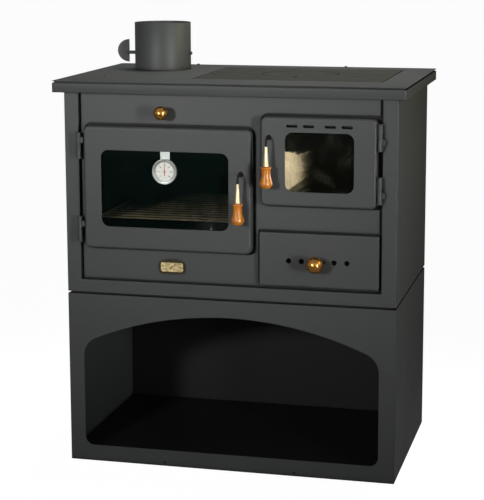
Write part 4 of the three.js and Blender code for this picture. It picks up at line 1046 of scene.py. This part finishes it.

# %% Ceramic glass with its film of soot, and a painted green reflection on the oven's pane
# Painted reflection: the oven pane's faint green clouds stand in for reflections on the glass.
green_painted_reflection = blend(glass, clouds, "#020605", "#0a1815")
smudge = span(glass, clouds, 0.45, 0.75)
gritty = work_out(glass, "MULTIPLY", smudge, noise(glass, spot, 4, 3))
olive = blend(glass, gritty, "#080905", "#33352a")
connect(glass, shader, {
    "Base Color": blend(glass, of_firebox, green_painted_reflection, olive),
    "Alpha": work_out(glass, "MINIMUM", film, 0.985),
    "Roughness": 0.05,
    "Specular IOR Level": 0.12,
})
finishes["door_glass"] = glass
print("glass:", len(glass.node_tree.nodes), "nodes")

# %% [markdown]
# ## The bright parts
# Polished metal has no colour of its own but its tint: it is the room that shows in it. Brass
# and copper plate get their warm tints, satin nickel a pale one. What makes them real is the
# small unevenness: faint clouds in the tone and shine of the knobs and in the shine of the
# ferrules, hammer marks on the badge, and long fine scratches on the steel strap.

# %% Copper-plated knobs
copper, shader, spot = finish("polished_copper_plate")
haze = noise(copper, spot, 6, 3)
connect(copper, shader, {
    "Base Color": blend(copper, haze, "#d68a3a", "#edb566"),
    "Roughness": span(copper, haze, 0, 1, 0.2, 0.32),
    "Metallic": 1.0,
})
finishes["knob_copper"] = copper
print(copper.name, "made")

# %% Hammered cast brass
brass, shader, spot = finish("hammered_cast_brass")
dents = cells(brass, spot, 4.8, 0.9, feature="SMOOTH_F1")
# Painted light and shade on the hammer dents: each dent is bright in its middle and dark at its edge.
bright = blend(brass, dents, "#f2dfa6", "#6b5222")
polished = add(brass, "Attribute", attribute_name="polished").outputs["Fac"]
connect(brass, shader, {
    "Base Color": blend(brass, polished, "#3a311c", bright),
    "Roughness": span(brass, polished, 0, 1, 0.6, 0.36),
    "Metallic": 0.5,
})
emboss(brass, shader, dents, 0.9, 1, invert=True)
finishes["badge_brass"] = brass
print(brass.name, "made")

# %% Satin nickel plate, brushed steel
nickel, shader, spot = finish("satin_nickel_plate")
connect(nickel, shader, {
    "Base Color": tone("#efdcae"),
    "Roughness": span(nickel, noise(nickel, spot, 10, 2), 0, 1, 0.28, 0.4),
    "Metallic": 0.4,
})
finishes["ferrule_chrome"] = nickel

ONE_CELL = 1000  # the size that fills one cell of stretched coordinates
steel, shader, spot = finish("brushed_stainless_steel")
lines = noise(steel, stretched(steel, spot, (0.4, 0.4, 20)), ONE_CELL, 2)
connect(steel, shader, {
    "Base Color": tone("#b4bab5"),
    "Roughness": span(steel, lines, 0, 1, 0.3, 0.5),
    "Metallic": 1.0,
})
emboss(steel, shader, lines, 0.15, 0.1)
finishes["gauge_steel"] = steel
print("metals:", [material.name for material in (copper, brass, nickel, steel)])

# %% [markdown]
# ## Lacquered wood, the dial, and rope
# The grips are turned beech with an amber lacquer. The wood's rings are bands stretched along
# the grip, and the lacquer is a clear coat over them, so the grain stays soft while the
# highlight stays sharp. The seal is a plaited glass-fibre rope, woven on the diagonal.

# %% Amber-lacquered beech
beech, shader, spot = finish("amber_lacquered_beech")
along = stretched(beech, spot, (4, 4, 30))
rings = span(beech, noise(beech, along, ONE_CELL, 4, Distortion=0.8), 0.32, 0.68)
pores = span(beech, noise(beech, along, ONE_CELL / 4, 2), 0.35, 0.5, 0.88, 1.0)
connect(beech, shader, {
    "Base Color": dim(beech, blend(beech, rings, "#aa5604", "#e39014"), pores),
    "Roughness": 0.4,
    "Coat Weight": 1.0,
    "Coat Roughness": 0.1,
})
finishes["grip_wood"] = beech
print(beech.name, "made")


# %% Printed dial and needle
def enamelled(name, size, detail, dull_code, code, roughness):
    """A smooth coat whose tone has shifted a little with age."""
    material, shader, spot = finish(name)
    ageing = noise(material, spot, size, detail)
    colour = blend(material, ageing, dull_code, code)
    connect(material, shader, {"Base Color": colour, "Roughness": roughness})
    return material


finishes["gauge_dial"] = enamelled("white_dial_enamel", 10, 3, "#dfdfd6", "#eeede4", 0.4)
finishes["gauge_needle"] = enamelled("red_needle_lacquer", 4, 2, "#a8523f", "#c47a66", 0.35)
print("dial and needle:", finishes["gauge_dial"].name, finishes["gauge_needle"].name)

# %% Plaited rope seal
rope, shader, spot = finish("plaited_glass_fibre_rope")
slant = {"Vector": spot, "Rotation": (0, math.radians(45), 0)}
weave = {"Vector": add(rope, "Mapping", slant).outputs["Vector"], "Scale": 1 / 0.02, "Distortion": 1.5}
plait = add(rope, "TexWave", weave, wave_type="BANDS").outputs["Fac"]
connect(rope, shader, {
    "Base Color": blend(rope, plait, "#3f3e3a", "#6d6b64"),
    "Roughness": 0.95,
    "Sheen Weight": 0.3,
})
emboss(rope, shader, plait, 0.8, 1)
finishes["rope_seal"] = rope
print("all slots covered:", set(slot_of.values()) <= set(finishes))

# %% Paint every piece
def paint(piece, material):
    """The piece gets this one material."""
    piece.data.materials.clear()
    piece.data.materials.append(material)


for piece in made:
    node = piece.name.removesuffix("_shape")
    paint(piece, finishes[slot_of.get(node, "dark_paint")])
for name, shape in nodes.items():
    for material_slot in shape.material_slots:
        material_slot.material = finishes[slot_of[name]]
print("painted", len(made), "pieces")

# %% [markdown]
# ## The studio
# The stove stands on a pale floor that curves up behind it. The knobs' shadows and highlights
# tell where the photographer's key lamp stood: a little to the left and not much higher than
# the hob. A narrow strip on the right draws the bright band down the flue pipe and the thin
# lights on right-hand edges, and a weak, warm lamp keeps the right side just readable. A wide
# lamp overhead lights the hob, and a small one in the firebox lights the pale brick that shows
# through the glass. The floor and backdrop look white to the camera without adding light to the
# stove: they glow only for rays that come from the camera, or through glass, and faintly for
# reflections.
# The lamps' own light is added to that glow, so the floor keeps the stove's shadow.

# %% Floor and backdrop
clear()
bpy.ops.mesh.primitive_plane_add(size=14, location=(0, 2.0, -0.0005))
floor = bpy.context.object
floor.name = "floor"
settle(floor)
pick(floor, "EDGE", lambda a, b: a.y > 8.9 and b.y > 8.9)
bpy.ops.mesh.extrude_region_move(TRANSFORM_OT_translate={"value": (0, 0, 7)})
bpy.ops.object.mode_set(mode="OBJECT")
bevel(floor, 2500, 12, lambda a, b: a.y > 8.9 and b.y > 8.9 and max(a.z, b.z) < 0.1)
polish(floor, 60)

WHITE, REFLECTED = 0.97, 0.1
paper = bpy.data.materials.new("white_paper_sweep")
paper.use_nodes = True
paper.node_tree.nodes.clear()
matt = add(paper, "BsdfDiffuse", {"Color": tone("#6e6e6c")})
rays = add(paper, "LightPath").outputs
direct = work_out(paper, "MAXIMUM", rays["Is Camera Ray"], rays["Is Transmission Ray"])
shown = work_out(paper, "MULTIPLY", direct, WHITE)
glow = work_out(paper, "MULTIPLY_ADD", rays["Is Glossy Ray"], REFLECTED, shown)
bright = add(paper, "Emission", {"Strength": glow})
both = add(paper, "AddShader", {0: matt.outputs["BSDF"], 1: bright.outputs["Emission"]})
add(paper, "OutputMaterial", {"Surface": both.outputs["Shader"]})
paint(floor, paper)
floor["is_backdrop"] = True
print("floor", [round(side, 1) for side in floor.dimensions], "m")


# %% Lamps and world
def lamp(name, spot, aim, size, power, tint=(1, 1, 1), beam=180):
    """A soft rectangular lamp at a spot, turned to what it lights, with its beam in degrees."""
    bpy.ops.object.light_add(type="AREA", location=spot)
    light = bpy.context.object
    light.name = name
    light.data.shape = "RECTANGLE"
    light.data.size, light.data.size_y = size
    light.data.energy = power
    light.data.color = tint
    light.data.spread = math.radians(beam)
    light.rotation_euler = (Vector(aim) - Vector(spot)).to_track_quat("-Z", "Y").to_euler()
    return light


lamp("key", (-1.02, -3.5, 1.32), (-0.25, -0.2, 0.78), (0.35, 0.35), 4.2, beam=50)
lamp("strip", (1.9, -1.75, 1.05), (-0.3, 0.1, 0.95), (0.16, 1.3), 2.7, beam=34)
lamp("side", (2.6, 0.2, 2.1), (0.36, 0, 1.05), (0.8, 0.8), 0.6, (1, 0.9, 0.3), 28)
lamp("top", (0.35, 0.6, 2.8), (0.12, 0.1, 0.85), (1.2, 1.0), 4.0, beam=40)
lamp("brick", (0.28, -0.05, 0.68), (0.1, -0.02, 0.66), (0.12, 0.1), 0.45, (1, 0.93, 0.8))

AMBIENT, SEEN_IN_METAL = 0.015, 0.25
world = bpy.data.worlds.new("studio")
bpy.context.scene.world = world
world.use_nodes = True
world.node_tree.nodes.clear()
rays = add(world, "LightPath").outputs
extra = SEEN_IN_METAL - AMBIENT
reflected = work_out(world, "MULTIPLY_ADD", rays["Is Glossy Ray"], extra, AMBIENT)
strength = work_out(world, "MAXIMUM", reflected, rays["Is Camera Ray"])
sky = add(world, "Background", {"Color": (1, 1, 1, 1), "Strength": strength})
add(world, "OutputWorld", {"Surface": sky.outputs["Background"]})
bpy.context.scene.view_settings.view_transform = "Standard"

# %% [markdown]
# ## Check the size and hand over
# Dressing must not change the stove's size, so the growth of its box is printed.

# %% Print how much the size grew
dressed_low, dressed_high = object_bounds()
growth = (dressed_high - dressed_low) - (model_high - model_low)
print("grown by", [round(side / MM, 2) for side in growth], "mm")
